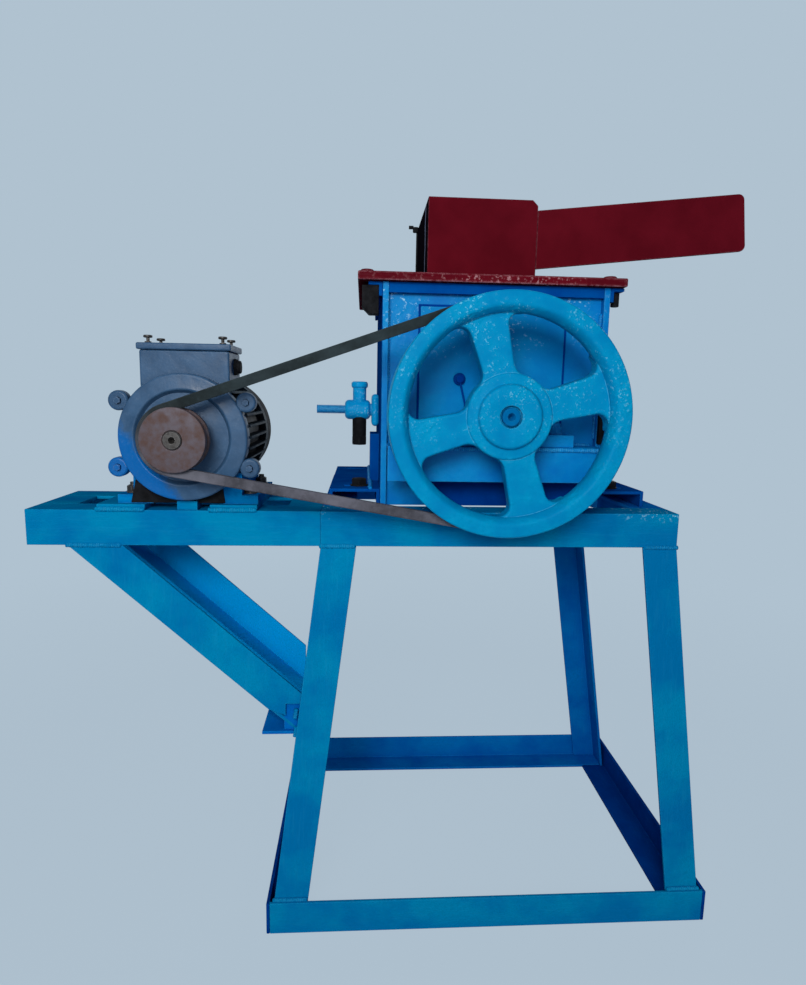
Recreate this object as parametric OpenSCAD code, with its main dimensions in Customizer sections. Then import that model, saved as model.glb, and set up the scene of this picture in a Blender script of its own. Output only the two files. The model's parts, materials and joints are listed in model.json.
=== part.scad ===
// Belt-driven roll coal crusher on a welded angle-iron stand.
// Millimetres. X runs to the right, Y away from the flywheel side, Z up from the floor.
// The pieces are laid out from the crusher shaft (X = 0) and the stand's front face (Y = 0),
// and then moved so that the origin lies under the middle of the whole machine.

/* [Stand] */
// Height of the table top above the floor
table_h = 640; // [560:5:760]
// Width of the table over its end angles
table_w = 518; // [490:1:620]
// Depth of the table over its front and back rails
table_d = 420; // [410:1:500]
// Distance from the crusher shaft to the table's middle
table_shift = 10; // [0:1:20]
// Leg of the angle iron
angle_w = 50; // [44:1:58]
// Thickness of the angle iron
angle_t = 5; // [4:0.5:8]
// How far each foot spreads sideways beyond the table
splay_x = 74; // [40:1:110]
// How far each foot spreads to the front or back beyond the table
splay_y = 22; // [10:1:40]
// How far the top of the right back leg stands in from the table's end
back_leg_inset = 19; // [0:1:25]

/* [Motor platform] */
// Length of the platform to the left of the table
platform_l = 402; // [380:1:460]
// Depth of the platform over its rails
platform_d = 170; // [165:1:230]
// Width of the flat bars under the motor's feet
motor_bar_w = 65; // [50:1:75]
// Thickness of the flat bars under the motor's feet
motor_bar_t = 8; // [6:1:14]
// How far the left bar reaches beyond the motor's foot
motor_bar_lip = 26; // [0:1:30]
// Distance from the platform's left end to the lower edge of the braces
brace_inset = 54; // [40:1:100]
// Angle of the braces below the platform
brace_angle = 42; // [38:0.1:44]
// Depth below the rails of the top of the bar that the braces stand on
seat_drop = 279; // [262:1:300]

/* [Crusher body] */
// Height of the crusher shaft above the table
shaft_h = 138; // [130:1:160]
// Width of the body over its end plates
body_w = 330; // [310:1:360]
// Height of the body above the table
body_h = 322; // [310:1:380]
// Depth of the end plates
body_d = 320; // [300:1:340]
// Thickness of the end plates
end_t = 9; // [6:1:12]
// Thickness of the front and back plates
plate_t = 8; // [5:1:12]
// How far the front and back plates lie inside the end plates' edges
plate_recess = 10; // [6:1:16]
// Width of the cover plate on the front and back
cover_w = 211; // [180:1:240]
// How far the cover plate's middle lies to the left of the crusher shaft
cover_shift = 4; // [0:1:12]
// Thickness of the cover plates
cover_t = 4; // [3:1:6]
// Height of the cover plates above the bearing shelves
cover_h = 197; // [120:1:210]
// Leg of the small angles around the top of the body
rim_angle_w = 20; // [16:1:26]
// How far the front and back top angles hang down
rim_hang = 15; // [12:1:24]
// Width of the channels that the body stands on
foot_w = 75; // [65:1:84]
// Height of the channels that the body stands on
foot_h = 24; // [18:1:32]
// Thickness of the channels that the body stands on
foot_t = 5; // [3:0.5:7]

/* [Feed hopper and chute] */
// Left overhang of the flange plate beyond the body
flange_left = 35; // [31:1:50]
// Right overhang of the flange plate beyond the body
flange_right = 20; // [16:1:50]
// Thickness of the flange plate
flange_t = 12; // [8:1:16]
// Width of the hopper
hopper_w = 165; // [140:1:220]
// Depth of the hopper
hopper_d = 200; // [170:1:230]
// Height of the hopper above the flange plate
hopper_h = 121; // [116:1:180]
// Distance from the crusher shaft to the hopper's right side
hopper_right = 68; // [40:1:90]
// Thickness of the hopper's sheet
sheet_t = 5; // [3:0.5:7]
// Length of the chute's front cheek
chute_l = 328; // [220:1:420]
// Height of the chute's front cheek
chute_h = 84; // [70:1:92]
// Rise of the chute away from the hopper
chute_angle = 6.4; // [3:0.1:9]
// Width of the chute over its cheeks
chute_w = 110; // [90:1:140]
// Height of the chute's floor above the front cheek's lower edge
chute_floor = 28; // [20:1:34]
// Height of the front cheek's lower edge above the flange plate
chute_z = 22; // [15:1:28]

/* [Flywheel and shaft] */
// Outside radius of the flywheel
wheel_r = 159; // [145:1:168]
// Width of the flywheel's rim
wheel_w = 58; // [50:1:64]
// Radial thickness of the rim
rim_t = 26; // [23:1:34]
// Radius of the hub boss
hub_r = 42; // [36:1:50]
// Radius of the web round the hub
web_r = 57; // [52:1:66]
// Width of a spoke at the rim
spoke_rim_w = 50; // [36:1:60]
// Width of a spoke at the web
spoke_hub_w = 43; // [30:1:50]
// Turn of the first spoke above the horizontal
spoke_turn = 15; // [0:1:89]
// Radius of the shaft in its bearings
shaft_r = 18; // [16:0.5:22]
// Radius of the shaft's end in the flywheel
nose_r = 13; // [10:0.5:15]
// Radius of the crushing roll without its teeth
roll_r = 84; // [70:1:90]
// Height of the roll's teeth
tooth_h = 10; // [6:1:14]
// Number of tooth rows on the roll
tooth_rows = 10; // [6:1:14]

/* [Motor and belt] */
// Distance from the crusher shaft to the motor shaft, sideways
motor_x = 433; // [425:1:450]
// Height of the motor shaft above its feet
motor_h = 93; // [90:1:112]
// Radius of the motor's end shields
shield_r = 86; // [82:1:88]
// Length of the finned frame
frame_l = 155; // [135:1:200]
// Length of each end shield
shield_l = 22; // [16:1:30]
// Length of the fan cover
fan_cover_l = 58; // [40:1:80]
// Radius of the motor shaft
motor_shaft_r = 12; // [9:0.5:14]
// Outside radius of the motor pulley
pulley_r = 42; // [40:1:50]
// Width of the motor pulley
pulley_w = 30; // [26:1:38]
// Width of the terminal box
box_w = 120; // [90:1:130]
// Top width of the belt
belt_w = 17; // [13:0.5:20]
// Thickness of the belt
belt_t = 13; // [10:0.5:14]
// How far the belt stands out of the motor pulley
belt_proud = 6; // [2:0.5:7]

/* [Adjuster] */
// Radius of the adjuster's boss
boss_r = 16; // [14:0.5:20]
// Length of the adjuster's boss
boss_l = 56; // [45:1:70]
// Radius of the adjusting rod
rod_r = 7; // [5:0.5:9]
// How far the rod sticks out of its boss
rod_out = 46; // [30:1:80]

/* [Hidden] */
$fn = 96;

// Small distances used throughout
run_gap = 0.05;          // radial clearance of a shaft in its bearing
face_gap = 0.4;          // clearance between the belt and its grooves
cut = 1;                 // how far a cutting shape reaches past what it cuts

// Colours
cyan = "deepskyblue";
navy = "royalblue";
red = "darkred";
grey = "slategray";
rust = "rosybrown";
black = "dimgray";

// Stand
table_x0 = table_shift - table_w / 2;
table_x1 = table_shift + table_w / 2;
rail_z = table_h - angle_w;
platform_x0 = table_x0 - platform_l;
base_x0 = table_x0 - splay_x - angle_t;
base_x1 = table_x1 + splay_x + angle_t;
base_y0 = -splay_y - angle_t;
base_y1 = table_d + splay_y + angle_t;
leg_slope = splay_x / rail_z;
seat_z = rail_z - seat_drop;
seat_x1 = leg_face(seat_z - angle_t);
seat_x0 = seat_x1 - angle_w;
brace_x = platform_x0 + brace_inset;     // brace's lower edge at the platform
brace_rise = tan(brace_angle);

// Crusher body, centred on the table's depth
mid_y = table_d / 2;
body_y0 = mid_y - body_d / 2;
body_y1 = mid_y + body_d / 2;
plate_y0 = body_y0 + plate_recess;
plate_y1 = body_y1 - plate_recess;
inner_x = body_w / 2 - end_t;
body_top = table_h + body_h;
shaft_z = table_h + shaft_h;
shelf_drop = 45;                         // bearing centre above its shelf
shelf_z = shaft_z - shelf_drop;
shelf_d = 55;                            // shelf's reach in front of its plate
bearing_half = 110;                      // half length of a bearing's foot
bearing_d = 44;                          // width of a bearing along the shaft
bearing_r = 44;                          // radius of a bearing's housing
bearing_y = plate_y0 - shelf_d + 5;      // front face of the front bearing

// Flange plate, hopper and chute
flange_x0 = -body_w / 2 - flange_left;
flange_x1 = body_w / 2 + flange_right;
flange_lip = 12;                         // overhang at the front and back
flange_top = body_top + flange_t;
hopper_x0 = hopper_right - hopper_w;
hopper_y0 = mid_y - hopper_d / 2;
hopper_top = flange_top + hopper_h;
corner_cut = 8;                          // bevel on the hopper's top right corner
chute_r = 9;                             // rounding of the chute's outer corners
chute_foot = flange_top + chute_z;

// Flywheel, belt and motor
belt_gap = 24;                           // from the belt's middle to the stand's front face
wheel_y0 = -belt_gap - 21 - wheel_w / 2;
belt_y = wheel_y0 + wheel_w / 2;
groove_angle = 20;
groove_depth = 3;                        // room below the belt in its grooves
belt_wheel_r = wheel_r - 1;
belt_pulley_r = pulley_r + belt_proud;
motor_z = table_h + motor_bar_t + motor_h;
run_dx = motor_x;
run_dz = shaft_z - motor_z;
run_c = sqrt(run_dx * run_dx + run_dz * run_dz);
run_tilt = atan2(run_dz, run_dx);
run_wrap = asin((belt_wheel_r - belt_pulley_r) / run_c);
run_len = run_c * cos(run_wrap);
shield_y0 = -12;                         // front face of the motor's drive end
frame_y0 = shield_y0 + shield_l;
frame_y1 = frame_y0 + frame_l;
fan_y0 = frame_y1 + shield_l;
fan_y1 = fan_y0 + fan_cover_l;
foot_half = 96;                          // motor's middle to the outside of a foot
motor_foot_w = 36;
motor_foot_t = 12;
core_r = shield_r - 10;                  // round frame between the fins
fin_t = 3.5;
fins = 8;
fin_low = -0.58 * core_r;                // top of the lowest fin
fin_pitch = 1.42 * core_r / (fins - 1);
terminal_d = 0.5 * frame_l;              // terminal box, along the shaft
terminal_z1 = 1.36 * shield_r;           // terminal box's top above the shaft

// Adjuster on the left end plate
adjuster_y = mid_y - 20;
lock_x = -body_w / 2 - 0.57 * boss_l;

// The whole machine's box, for the origin under its middle
chute_tip_x = hopper_right + (chute_l - chute_r) * cos(chute_angle)
              + chute_r * (1 - sin(chute_angle));
box_x0 = platform_x0;
box_x1 = max(base_x1, chute_tip_x);
box_y0 = wheel_y0;
box_y1 = base_y1;
origin_x = (box_x0 + box_x1) / 2;
origin_y = (box_y0 + box_y1) / 2;

// ---------------------------------------------------------------- helpers

// Moves a piece from the shaft's layout to the machine's origin.
module place() {
  translate([-origin_x, -origin_y, 0])
    children();
}

// A block given by its low and high corners.
module block(lo, hi) {
  translate(lo)
    cube([hi[0] - lo[0], hi[1] - lo[1], hi[2] - lo[2]]);
}

// A round bar or disc along Y, from y0 to y1.
module disc_y(r, y0, y1) {
  translate([0, y1, 0])
    rotate([90, 0, 0])
      cylinder(r = r, h = y1 - y0);
}

// A round bar along X, from x0 to x1.
module bar_x(r, x0, x1) {
  translate([x0, 0, 0])
    rotate([0, 90, 0])
      cylinder(r = r, h = x1 - x0);
}

// A flat shape drawn in X and Z, as thick as y0 to y1.
module flat_xz(y0, y1) {
  translate([0, y1, 0])
    rotate([90, 0, 0])
      linear_extrude(height = y1 - y0)
        children();
}

// ---------------------------------------------------------------- stand

// A base bar along X: an upright leg outside, a flat leg on the floor, running inwards.
module base_x_bar(y, side) {
  y_in = y + side * angle_w;
  y_t = y + side * angle_t;
  x0 = base_x0 + angle_t;
  x1 = base_x1 - angle_t;
  block([x0, min(y, y_t), 0], [x1, max(y, y_t), angle_w]);
  block([x0, min(y, y_in), 0], [x1, max(y, y_in), angle_t]);
}

// A base bar along Y, its flat leg fitted between those of the bars along X.
module base_y_bar(x, side) {
  x_in = x + side * angle_w;
  x_t = x + side * angle_t;
  block([min(x, x_t), base_y0, 0], [max(x, x_t), base_y1, angle_w]);
  block([min(x, x_in), base_y0 + angle_w, 0], [max(x, x_in), base_y1 - angle_w, angle_t]);
}

module base_front_bar() {
  color(cyan) place() base_x_bar(base_y0, 1);
}

module base_back_bar() {
  color(cyan) place() base_x_bar(base_y1, -1);
}

module base_side_bars() {
  color(navy) place() {
    base_y_bar(base_x0, 1);
    base_y_bar(base_x1, -1);
  }
}

// The front right leg, spread outwards, cut level under the rails and on the base.
module leg(inset) {
  lean_y = atan(splay_y / rail_z);
  lean_x = atan((splay_x + inset) / rail_z * cos(lean_y));
  intersection() {
    translate([table_x1 - inset, 0, rail_z])
      rotate([-lean_y, 0, 0])
        rotate([0, -lean_x, 0])
          translate([0, 0, -2 * rail_z])
            linear_extrude(height = 3 * rail_z)
              union() {
                translate([-angle_w, 0])
                  square([angle_w, angle_t]);
                translate([-angle_t, 0])
                  square([angle_t, angle_w]);
              }
    block([0, -table_d, angle_t], [base_x1 + angle_w, table_d, rail_z]);
  }
}

// The same leg at one of the table's corners, its top moved in by the inset.
module leg_at(left, back, inset) {
  translate([left ? 2 * table_shift : 0, back ? table_d : 0, 0])
    mirror([left ? 1 : 0, 0, 0])
      mirror([0, back ? 1 : 0, 0])
        leg(inset);
}

module front_legs() {
  color(cyan) place() {
    leg_at(true, false, 0);
    leg_at(false, false, 0);
  }
}

module back_legs() {
  color(navy) place() {
    leg_at(true, true, 0);
    leg_at(false, true, back_leg_inset);
  }
}

// A rail along X: an upright leg outside, a flat leg on top, running inwards.
module rail_x(x0, x1, y, side) {
  y_in = y + side * angle_w;
  y_t = y + side * angle_t;
  block([x0, min(y, y_t), rail_z], [x1, max(y, y_t), table_h]);
  block([x0, min(y, y_in), table_h - angle_t], [x1, max(y, y_in), table_h]);
}

// A rail along Y that fits between two rails along X.
module rail_y(x, side, y0, y1) {
  x_in = x + side * angle_w;
  x_t = x + side * angle_t;
  block([min(x, x_t), y0 + angle_t, rail_z], [max(x, x_t), y1 - angle_t, table_h - angle_t]);
  block([min(x, x_in), y0 + angle_w, table_h - angle_t], [max(x, x_in), y1 - angle_w, table_h]);
}

module table_front_rail() {
  color(cyan) place() rail_x(table_x0, table_x1, 0, 1);
}

module table_back_rail() {
  color(cyan) place() rail_x(table_x0, table_x1, table_d, -1);
}

module table_end_angles() {
  color(navy) place() {
    rail_y(table_x0, 1, 0, table_d);
    rail_y(table_x1, -1, 0, table_d);
  }
}

module platform_rails() {
  color(cyan) place() {
    rail_x(platform_x0, table_x0, 0, 1);
    rail_x(platform_x0, table_x0, platform_d, -1);
  }
}

module platform_end_angles() {
  color(cyan) place() {
    rail_y(platform_x0, 1, 0, platform_d);
    rail_y(table_x0, -1, 0, platform_d);
  }
}

// Two flat bars across the rails, under the motor's feet.
module motor_bars() {
  left_x = -motor_x - foot_half - motor_bar_lip;
  right_x = -motor_x + foot_half;
  color(cyan) place() {
    block([left_x, 0, table_h], [left_x + motor_bar_w, platform_d, table_h + motor_bar_t]);
    block([right_x - motor_bar_w, 0, table_h], [right_x, platform_d, table_h + motor_bar_t]);
  }
}

// Small block on the front rail, below the motor, for its tension bolt.
module tension_block() {
  block_w = 28;
  block_d = 26;
  block_h = 13;
  color(cyan) place()
    block([-motor_x - block_w / 2, 2, table_h],
          [-motor_x + block_w / 2, 2 + block_d, table_h + block_h]);
}

// Where the outside of a left leg stands at a height, and a brace's lower edge at a place in X.
function leg_face(z) = table_x0 - leg_slope * (rail_z - z);
function brace_z(x) = rail_z - (x - brace_x) * brace_rise;

// Side view of the front brace's upright leg, cut off in steps above its seat and at the leg.
module brace_to_leg() {
  top_x = brace_x + angle_w / sin(brace_angle);
  hit_t = (table_x0 - top_x) / (1 + leg_slope * brace_rise);
  cut_x = seat_x0 + 10;
  step_x = seat_x1 - 15;
  tip_z = seat_z + 24;
  step_z = seat_z + 42;
  polygon([[brace_x, rail_z], [cut_x, brace_z(cut_x)], [step_x, tip_z], [step_x, step_z],
           [leg_face(step_z), step_z], [top_x + hit_t, rail_z - hit_t * brace_rise],
           [top_x, rail_z]]);
}

// Side view of a brace's leg that stands on the seat, as wide as given.
module brace_to_seat(width) {
  foot_x = brace_x + seat_drop / brace_rise;
  polygon([[brace_x, rail_z], [foot_x, seat_z], [seat_x1, seat_z],
           [seat_x1, brace_z(seat_x1) + width / cos(brace_angle)],
           [brace_x + width / sin(brace_angle), rail_z]]);
}

// A brace is an angle: an upright leg in the rail's plane and a leg along its lower edge.
module braces() {
  color(cyan) place() {
    flat_xz(0, angle_t)
      brace_to_leg();
    flat_xz(angle_t, angle_w)
      brace_to_seat(angle_t);
    flat_xz(platform_d - angle_t, platform_d)
      brace_to_seat(angle_w);
    flat_xz(platform_d - angle_w, platform_d - angle_t)
      brace_to_seat(angle_t);
  }
}

// The angle that the braces stand on: a flat leg outside the front leg, and a hanging leg
// behind it.
module brace_seat_bar() {
  color(navy) place() {
    block([seat_x0, 0, seat_z - angle_t], [seat_x1, platform_d, seat_z]);
    block([seat_x1 - angle_t, angle_w, seat_z - angle_w], [seat_x1, platform_d, seat_z - angle_t]);
  }
}

// ---------------------------------------------------------------- crusher body

// Inverted channels on both sides, with a slot for a holding bolt near the front.
module body_feet() {
  slot_w = 14;
  slot_l = 34;
  color(navy) place()
    for (side = [-1, 1]) {
      x_in = side * body_w / 2;
      x_out = x_in + side * foot_w;
      x_lo = min(x_in, x_out);
      x_hi = max(x_in, x_out);
      difference() {
        block([x_lo, plate_y0, table_h], [x_hi, plate_y1, table_h + foot_h]);
        block([x_lo + foot_t, plate_y0 - cut, table_h - cut],
              [x_hi - foot_t, plate_y1 + cut, table_h + foot_h - foot_t]);
        for (y = [plate_y0 + slot_l, plate_y1 - slot_l])
          translate([(x_lo + x_hi) / 2, y, table_h])
            cube([slot_l, slot_w, 3 * foot_h], center = true);
      }
    }
}

module end_plate(side) {
  x_out = side * body_w / 2;
  x_in = side * inner_x;
  block([min(x_out, x_in), body_y0, table_h], [max(x_out, x_in), body_y1, body_top]);
}

// The left end plate has the hole that the adjusting rod passes through, and a rib below it.
module end_plate_left() {
  rib_w = 14;
  rib_half = 35;
  rib_gap = 22;
  x0 = -body_w / 2;
  color(navy) place() difference() {
    union() {
      end_plate(-1);
      block([x0 - rib_w, adjuster_y - rib_half, table_h + foot_h],
            [x0, adjuster_y + rib_half, shaft_z - boss_r - rib_gap]);
    }
    translate([0, adjuster_y, shaft_z])
      bar_x(rod_r + run_gap, -body_w, 0);
  }
}

module end_plate_right() {
  color(cyan) place() end_plate(1);
}

// Front and back plates, with a round hole for the shaft.
module wall_plate(y0) {
  difference() {
    block([-inner_x, y0, table_h], [inner_x, y0 + plate_t, body_top - angle_t]);
    translate([0, 0, shaft_z])
      disc_y(shaft_r + 8, y0 - cut, y0 + plate_t + cut);
  }
}

module front_plate() {
  color(cyan) place() wall_plate(plate_y0);
}

module back_plate() {
  color(cyan) place() wall_plate(plate_y1 - plate_t);
}

// Cover plates above the shelves, outside the front and back plates.
module cover_plates() {
  color(cyan) place()
    for (y = [plate_y0 - cover_t, plate_y1])
      difference() {
        block([-cover_shift - cover_w / 2, y, shelf_z],
              [-cover_shift + cover_w / 2, y + cover_t, shelf_z + cover_h]);
        translate([0, 0, shaft_z])
          disc_y(shaft_r + 8, y - cut, y + cover_t + cut);
      }
}

// Small angles round the top of the body, which carry the flange plate.
module top_angles() {
  color(cyan) place() {
    for (side = [-1, 1]) {
      x_in = side * body_w / 2;
      x_out = x_in + side * rim_angle_w;
      x_t = x_in + side * angle_t;
      block([min(x_in, x_out), body_y0, body_top - angle_t],
            [max(x_in, x_out), body_y1, body_top]);
      block([min(x_in, x_t), body_y0, body_top - rim_angle_w],
            [max(x_in, x_t), body_y1, body_top - angle_t]);
    }
    for (front = [true, false]) {
      y_out = front ? body_y0 : body_y1;
      y_in = front ? plate_y0 + rim_angle_w : plate_y1 - rim_angle_w;
      y_t = front ? y_out + angle_t : y_out - angle_t;
      block([-inner_x, min(y_out, y_in), body_top - angle_t], [inner_x, max(y_out, y_in), body_top]);
      block([-inner_x, min(y_out, y_t), body_top - rim_hang],
            [inner_x, max(y_out, y_t), body_top - angle_t]);
    }
  }
}

// A shelf of angle iron on a body plate: flat leg on top, upright leg at its edge.
module bearing_shelf(y_plate, side) {
  y_out = y_plate - side * shelf_d;
  y_t = y_out + side * angle_t;
  block([-inner_x, min(y_plate, y_out), shelf_z - angle_t],
        [inner_x, max(y_plate, y_out), shelf_z]);
  block([-inner_x, min(y_out, y_t), shelf_z - angle_w],
        [inner_x, max(y_out, y_t), shelf_z - angle_t]);
}

module bearing_shelves() {
  color(cyan) place() {
    bearing_shelf(plate_y0, 1);
    bearing_shelf(plate_y1, -1);
  }
}

// A pillow-block bearing standing on a shelf.
module bearing(y0) {
  sole_t = 18;
  y1 = y0 + bearing_d;
  bolt_x = bearing_half - 22;
  bolt_r = 8;
  translate([0, 0, shaft_z])
    difference() {
      union() {
        disc_y(bearing_r, y0, y1);
        block([-bearing_half, y0, -shelf_drop], [bearing_half, y1, sole_t - shelf_drop]);
        block([-bearing_r, y0, -shelf_drop], [bearing_r, y1, 0]);
      }
      disc_y(shaft_r + run_gap, y0 - cut, y1 + cut);
    }
  for (side = [-1, 1])
    translate([side * bolt_x, y0 + bearing_d / 2, shelf_z + sole_t])
      cylinder(r = bolt_r, h = 16);
}

module shaft_bearings() {
  color(navy) place() {
    bearing(bearing_y);
    bearing(2 * mid_y - bearing_y - bearing_d);
  }
}

// The fixed plate that the roll crushes against, leaning towards the roll.
module breaker_plate() {
  plate = 20;
  roll_gap = 8;
  nip_gap = 12;
  knee_up = 40;
  jaw_down = 10;
  tail_down = 80;
  top_z = body_top - rim_angle_w - 4;
  low_z = shaft_z - tail_down;
  y0 = plate_y0 + plate_t + 1;
  y1 = plate_y1 - plate_t - 1;
  x_wall = -inner_x;
  x_low = -roll_r - tooth_h - nip_gap;
  color(black) place() difference() {
    flat_xz(y0, y1)
      polygon([[x_wall, top_z], [x_wall + plate, top_z], [x_low, shaft_z - jaw_down],
               [x_low, low_z], [x_low - plate, low_z], [x_wall, shaft_z + knee_up]]);
    translate([0, 0, shaft_z])
      disc_y(roll_r + tooth_h + roll_gap, y0 - cut, y1 + cut);
  }
}

// ---------------------------------------------------------------- flange plate, hopper, chute

module flange_plate() {
  color(red) place() difference() {
    block([flange_x0, body_y0 - flange_lip, body_top],
          [flange_x1, body_y1 + flange_lip, flange_top]);
    block([hopper_x0 + sheet_t, hopper_y0 + sheet_t, body_top - cut],
          [hopper_right - sheet_t, hopper_y0 + hopper_d - sheet_t, flange_top + cut]);
  }
}

module hopper_front_wall() {
  color(red) place()
    flat_xz(hopper_y0, hopper_y0 + sheet_t)
      polygon([[hopper_x0, flange_top], [hopper_right, flange_top],
               [hopper_right, hopper_top - corner_cut], [hopper_right - corner_cut, hopper_top],
               [hopper_x0, hopper_top]]);
}

// Left, back and right walls in one welded piece, with the mouth of the chute on the right.
module hopper_walls() {
  y0 = hopper_y0 + sheet_t;
  y1 = hopper_y0 + hopper_d;
  mouth_z0 = chute_foot + chute_floor + sheet_t;
  mouth_z1 = hopper_top - corner_cut - 10;
  color(red) place() {
    block([hopper_x0, y0, flange_top], [hopper_x0 + sheet_t, y1, hopper_top]);
    block([hopper_x0 + sheet_t, y1 - sheet_t, flange_top], [hopper_right, y1, hopper_top]);
    difference() {
      block([hopper_right - sheet_t, y0, flange_top],
            [hopper_right, y1 - sheet_t, hopper_top - corner_cut]);
      block([hopper_right - sheet_t - cut, y0 - cut, mouth_z0],
            [hopper_right + cut, hopper_y0 + chute_w - sheet_t, mouth_z1]);
    }
  }
}

// Side view of the front cheek: a flat bar with a rounded outer end.
module cheek_outline(low, high) {
  intersection() {
    translate([hopper_right, chute_foot])
      rotate(chute_angle)
        union() {
          translate([-chute_h, low])
            square([chute_l + chute_h - chute_r, high - low]);
          translate([0, low + chute_r])
            square([chute_l, high - low - 2 * chute_r]);
          for (z = [low + chute_r, high - chute_r])
            translate([chute_l - chute_r, z])
              circle(r = chute_r);
        }
    translate([hopper_right, 0])
      square([2 * chute_l, 2 * hopper_top]);
  }
}

module chute_front_cheek() {
  color(red) place()
    flat_xz(hopper_y0, hopper_y0 + sheet_t)
      cheek_outline(0, chute_h);
}

// The chute's floor and back cheek.
module chute_tray() {
  y_back = hopper_y0 + chute_w;
  tray_l = chute_l - 6;
  color(red) place() intersection() {
    translate([hopper_right, 0, chute_foot])
      rotate([0, -chute_angle, 0])
        union() {
          block([-chute_h, hopper_y0 + sheet_t, chute_floor], [tray_l, y_back, chute_floor + sheet_t]);
          block([-chute_h, y_back - sheet_t, chute_floor], [tray_l, y_back, chute_h]);
        }
    block([hopper_right, 0, 0], [2 * chute_l, table_d, 2 * hopper_top]);
  }
}

// A block and bolts under the overhang, which hold the flange plate down.
module clamp_blocks() {
  block_w = 24;
  block_t = 24;
  block_h = 40;
  bolt_r = 6;
  bolt_gap = 0.5;
  bolt_drop = 20;
  z_top = body_top - angle_t;
  x_left = -body_w / 2 - angle_t;
  x_right = body_w / 2 + angle_t + bolt_gap + bolt_r;
  y_front = body_y0 + 2;
  color(black) place() {
    flat_xz(y_front, y_front + block_t)
      polygon([[x_left, z_top], [x_left - block_w, z_top],
               [x_left - block_w, z_top - block_h + 10],
               [x_left - block_w + 10, z_top - block_h], [x_left, z_top - block_h]]);
    for (y = [y_front, 2 * mid_y - y_front - block_t])
      translate([x_right, y + block_t / 2, z_top - bolt_drop])
        cylinder(r = bolt_r, h = bolt_drop);
  }
}

// ---------------------------------------------------------------- adjuster

// Boss with its welded pad on the left end plate.
module adjuster_boss() {
  pad = 26;
  pad_t = 12;
  x0 = -body_w / 2;
  color(cyan) place()
    translate([0, adjuster_y, shaft_z])
      difference() {
        union() {
          bar_x(boss_r, x0 - boss_l, x0);
          block([x0 - pad_t, -pad, -pad], [x0, pad, pad]);
        }
        bar_x(rod_r + run_gap, x0 - boss_l - cut, x0 + cut);
      }
}

module adjuster_rod() {
  x_tip = -body_w / 2 - boss_l - rod_out;
  color(cyan) place()
    translate([0, adjuster_y, shaft_z])
      bar_x(rod_r, x_tip, -inner_x);
}

// Lock bolt on top of the boss, and the sleeve with its nut below.
module adjuster_lock_bolts() {
  sleeve_r = 11;
  sleeve_l = 20;
  head_r = 13.5;
  head_h = 10;
  nut_h = 16;
  top_z = boss_r + sleeve_l;
  low_z = -boss_r - sleeve_l - 6;
  color(cyan) place()
    translate([lock_x, adjuster_y, shaft_z])
      difference() {
        union() {
          translate([0, 0, low_z])
            cylinder(r = sleeve_r, h = top_z - low_z);
          translate([0, 0, top_z])
            cylinder(r = head_r, h = head_h);
          translate([0, 0, low_z - nut_h])
            cylinder(r = head_r, h = nut_h, $fn = 6);
        }
        bar_x(boss_r + run_gap, -boss_l, boss_l);
      }
}

// ---------------------------------------------------------------- motor

module at_motor() {
  translate([-motor_x, 0, motor_z])
    children();
}

// Cylindrical frame with level cooling fins on both sides.
module motor_frame() {
  fin_r = shield_r + 3;
  color(grey) place() at_motor() {
    disc_y(core_r, frame_y0, frame_y1);
    intersection() {
      disc_y(fin_r, frame_y0, frame_y1);
      for (i = [0 : fins - 1])
        block([-fin_r, frame_y0, fin_low + i * fin_pitch - fin_t],
              [fin_r, frame_y1, fin_low + i * fin_pitch]);
    }
  }
}

// Drive-end shield with its boss and bore, and the plain shield at the fan end.
module motor_end_shields() {
  boss_len = 12;
  boss_rad = 30;
  lug_r = 14;
  lug_at = shield_r + 11;
  color(grey) place() at_motor() {
    difference() {
      union() {
        disc_y(shield_r, shield_y0, frame_y0);
        disc_y(boss_rad, shield_y0 - boss_len, shield_y0);
        for (a = [30, 150, 205, 335])
          rotate([0, -a, 0])
            translate([lug_at, 0, 0])
              disc_y(lug_r, shield_y0 + 4, frame_y0);
      }
      disc_y(motor_shaft_r + run_gap, shield_y0 - boss_len - cut, frame_y0 - 2);
    }
    disc_y(shield_r, frame_y1, fan_y0);
  }
}

module motor_fan_cover() {
  color(grey) place() at_motor()
    disc_y(shield_r - 2, fan_y0, fan_y1);
}

// Two feet, each a flat sole and a web up to the round frame, joined by a rib in front.
module motor_feet() {
  y1 = platform_d - 14;
  web_in = 26;
  rib_t = 9;
  rib_h = 34;
  rib_lift = 6;
  color(grey) place() at_motor() difference() {
    union() {
      for (side = [-1, 1]) {
        x_out = side * foot_half;
        x_in = x_out - side * motor_foot_w;
        x_web0 = x_out - side * (motor_foot_w + 12);
        x_web1 = x_web0 + side * web_in;
        block([min(x_out, x_in), frame_y0, -motor_h],
              [max(x_out, x_in), y1, motor_foot_t - motor_h]);
        block([min(x_web0, x_web1), frame_y0, -motor_h],
              [max(x_web0, x_web1), y1, fin_low - fin_t - 2]);
      }
      block([-foot_half / 2 - 2, frame_y0, rib_lift - motor_h],
            [foot_half / 2 + 2, frame_y0 + rib_t, rib_h - motor_h]);
    }
    disc_y(core_r, frame_y0 - cut, y1 + cut);
  }
}

// Terminal box, seated on top of the round frame.
module terminal_box() {
  color(grey) place() at_motor() difference() {
    block([-box_w / 2, frame_y0, fin_low + (fins - 1) * fin_pitch + 2],
          [box_w / 2, frame_y0 + terminal_d, terminal_z1]);
    disc_y(core_r, frame_y0 - cut, frame_y0 + terminal_d + cut);
  }
}

module terminal_box_lid() {
  lid_lip = 3;
  lid_t = 9;
  color(grey) place() at_motor()
    block([-box_w / 2 - lid_lip, frame_y0 - lid_lip, terminal_z1],
          [box_w / 2 + lid_lip, frame_y0 + terminal_d + lid_lip, terminal_z1 + lid_t]);
}

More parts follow.
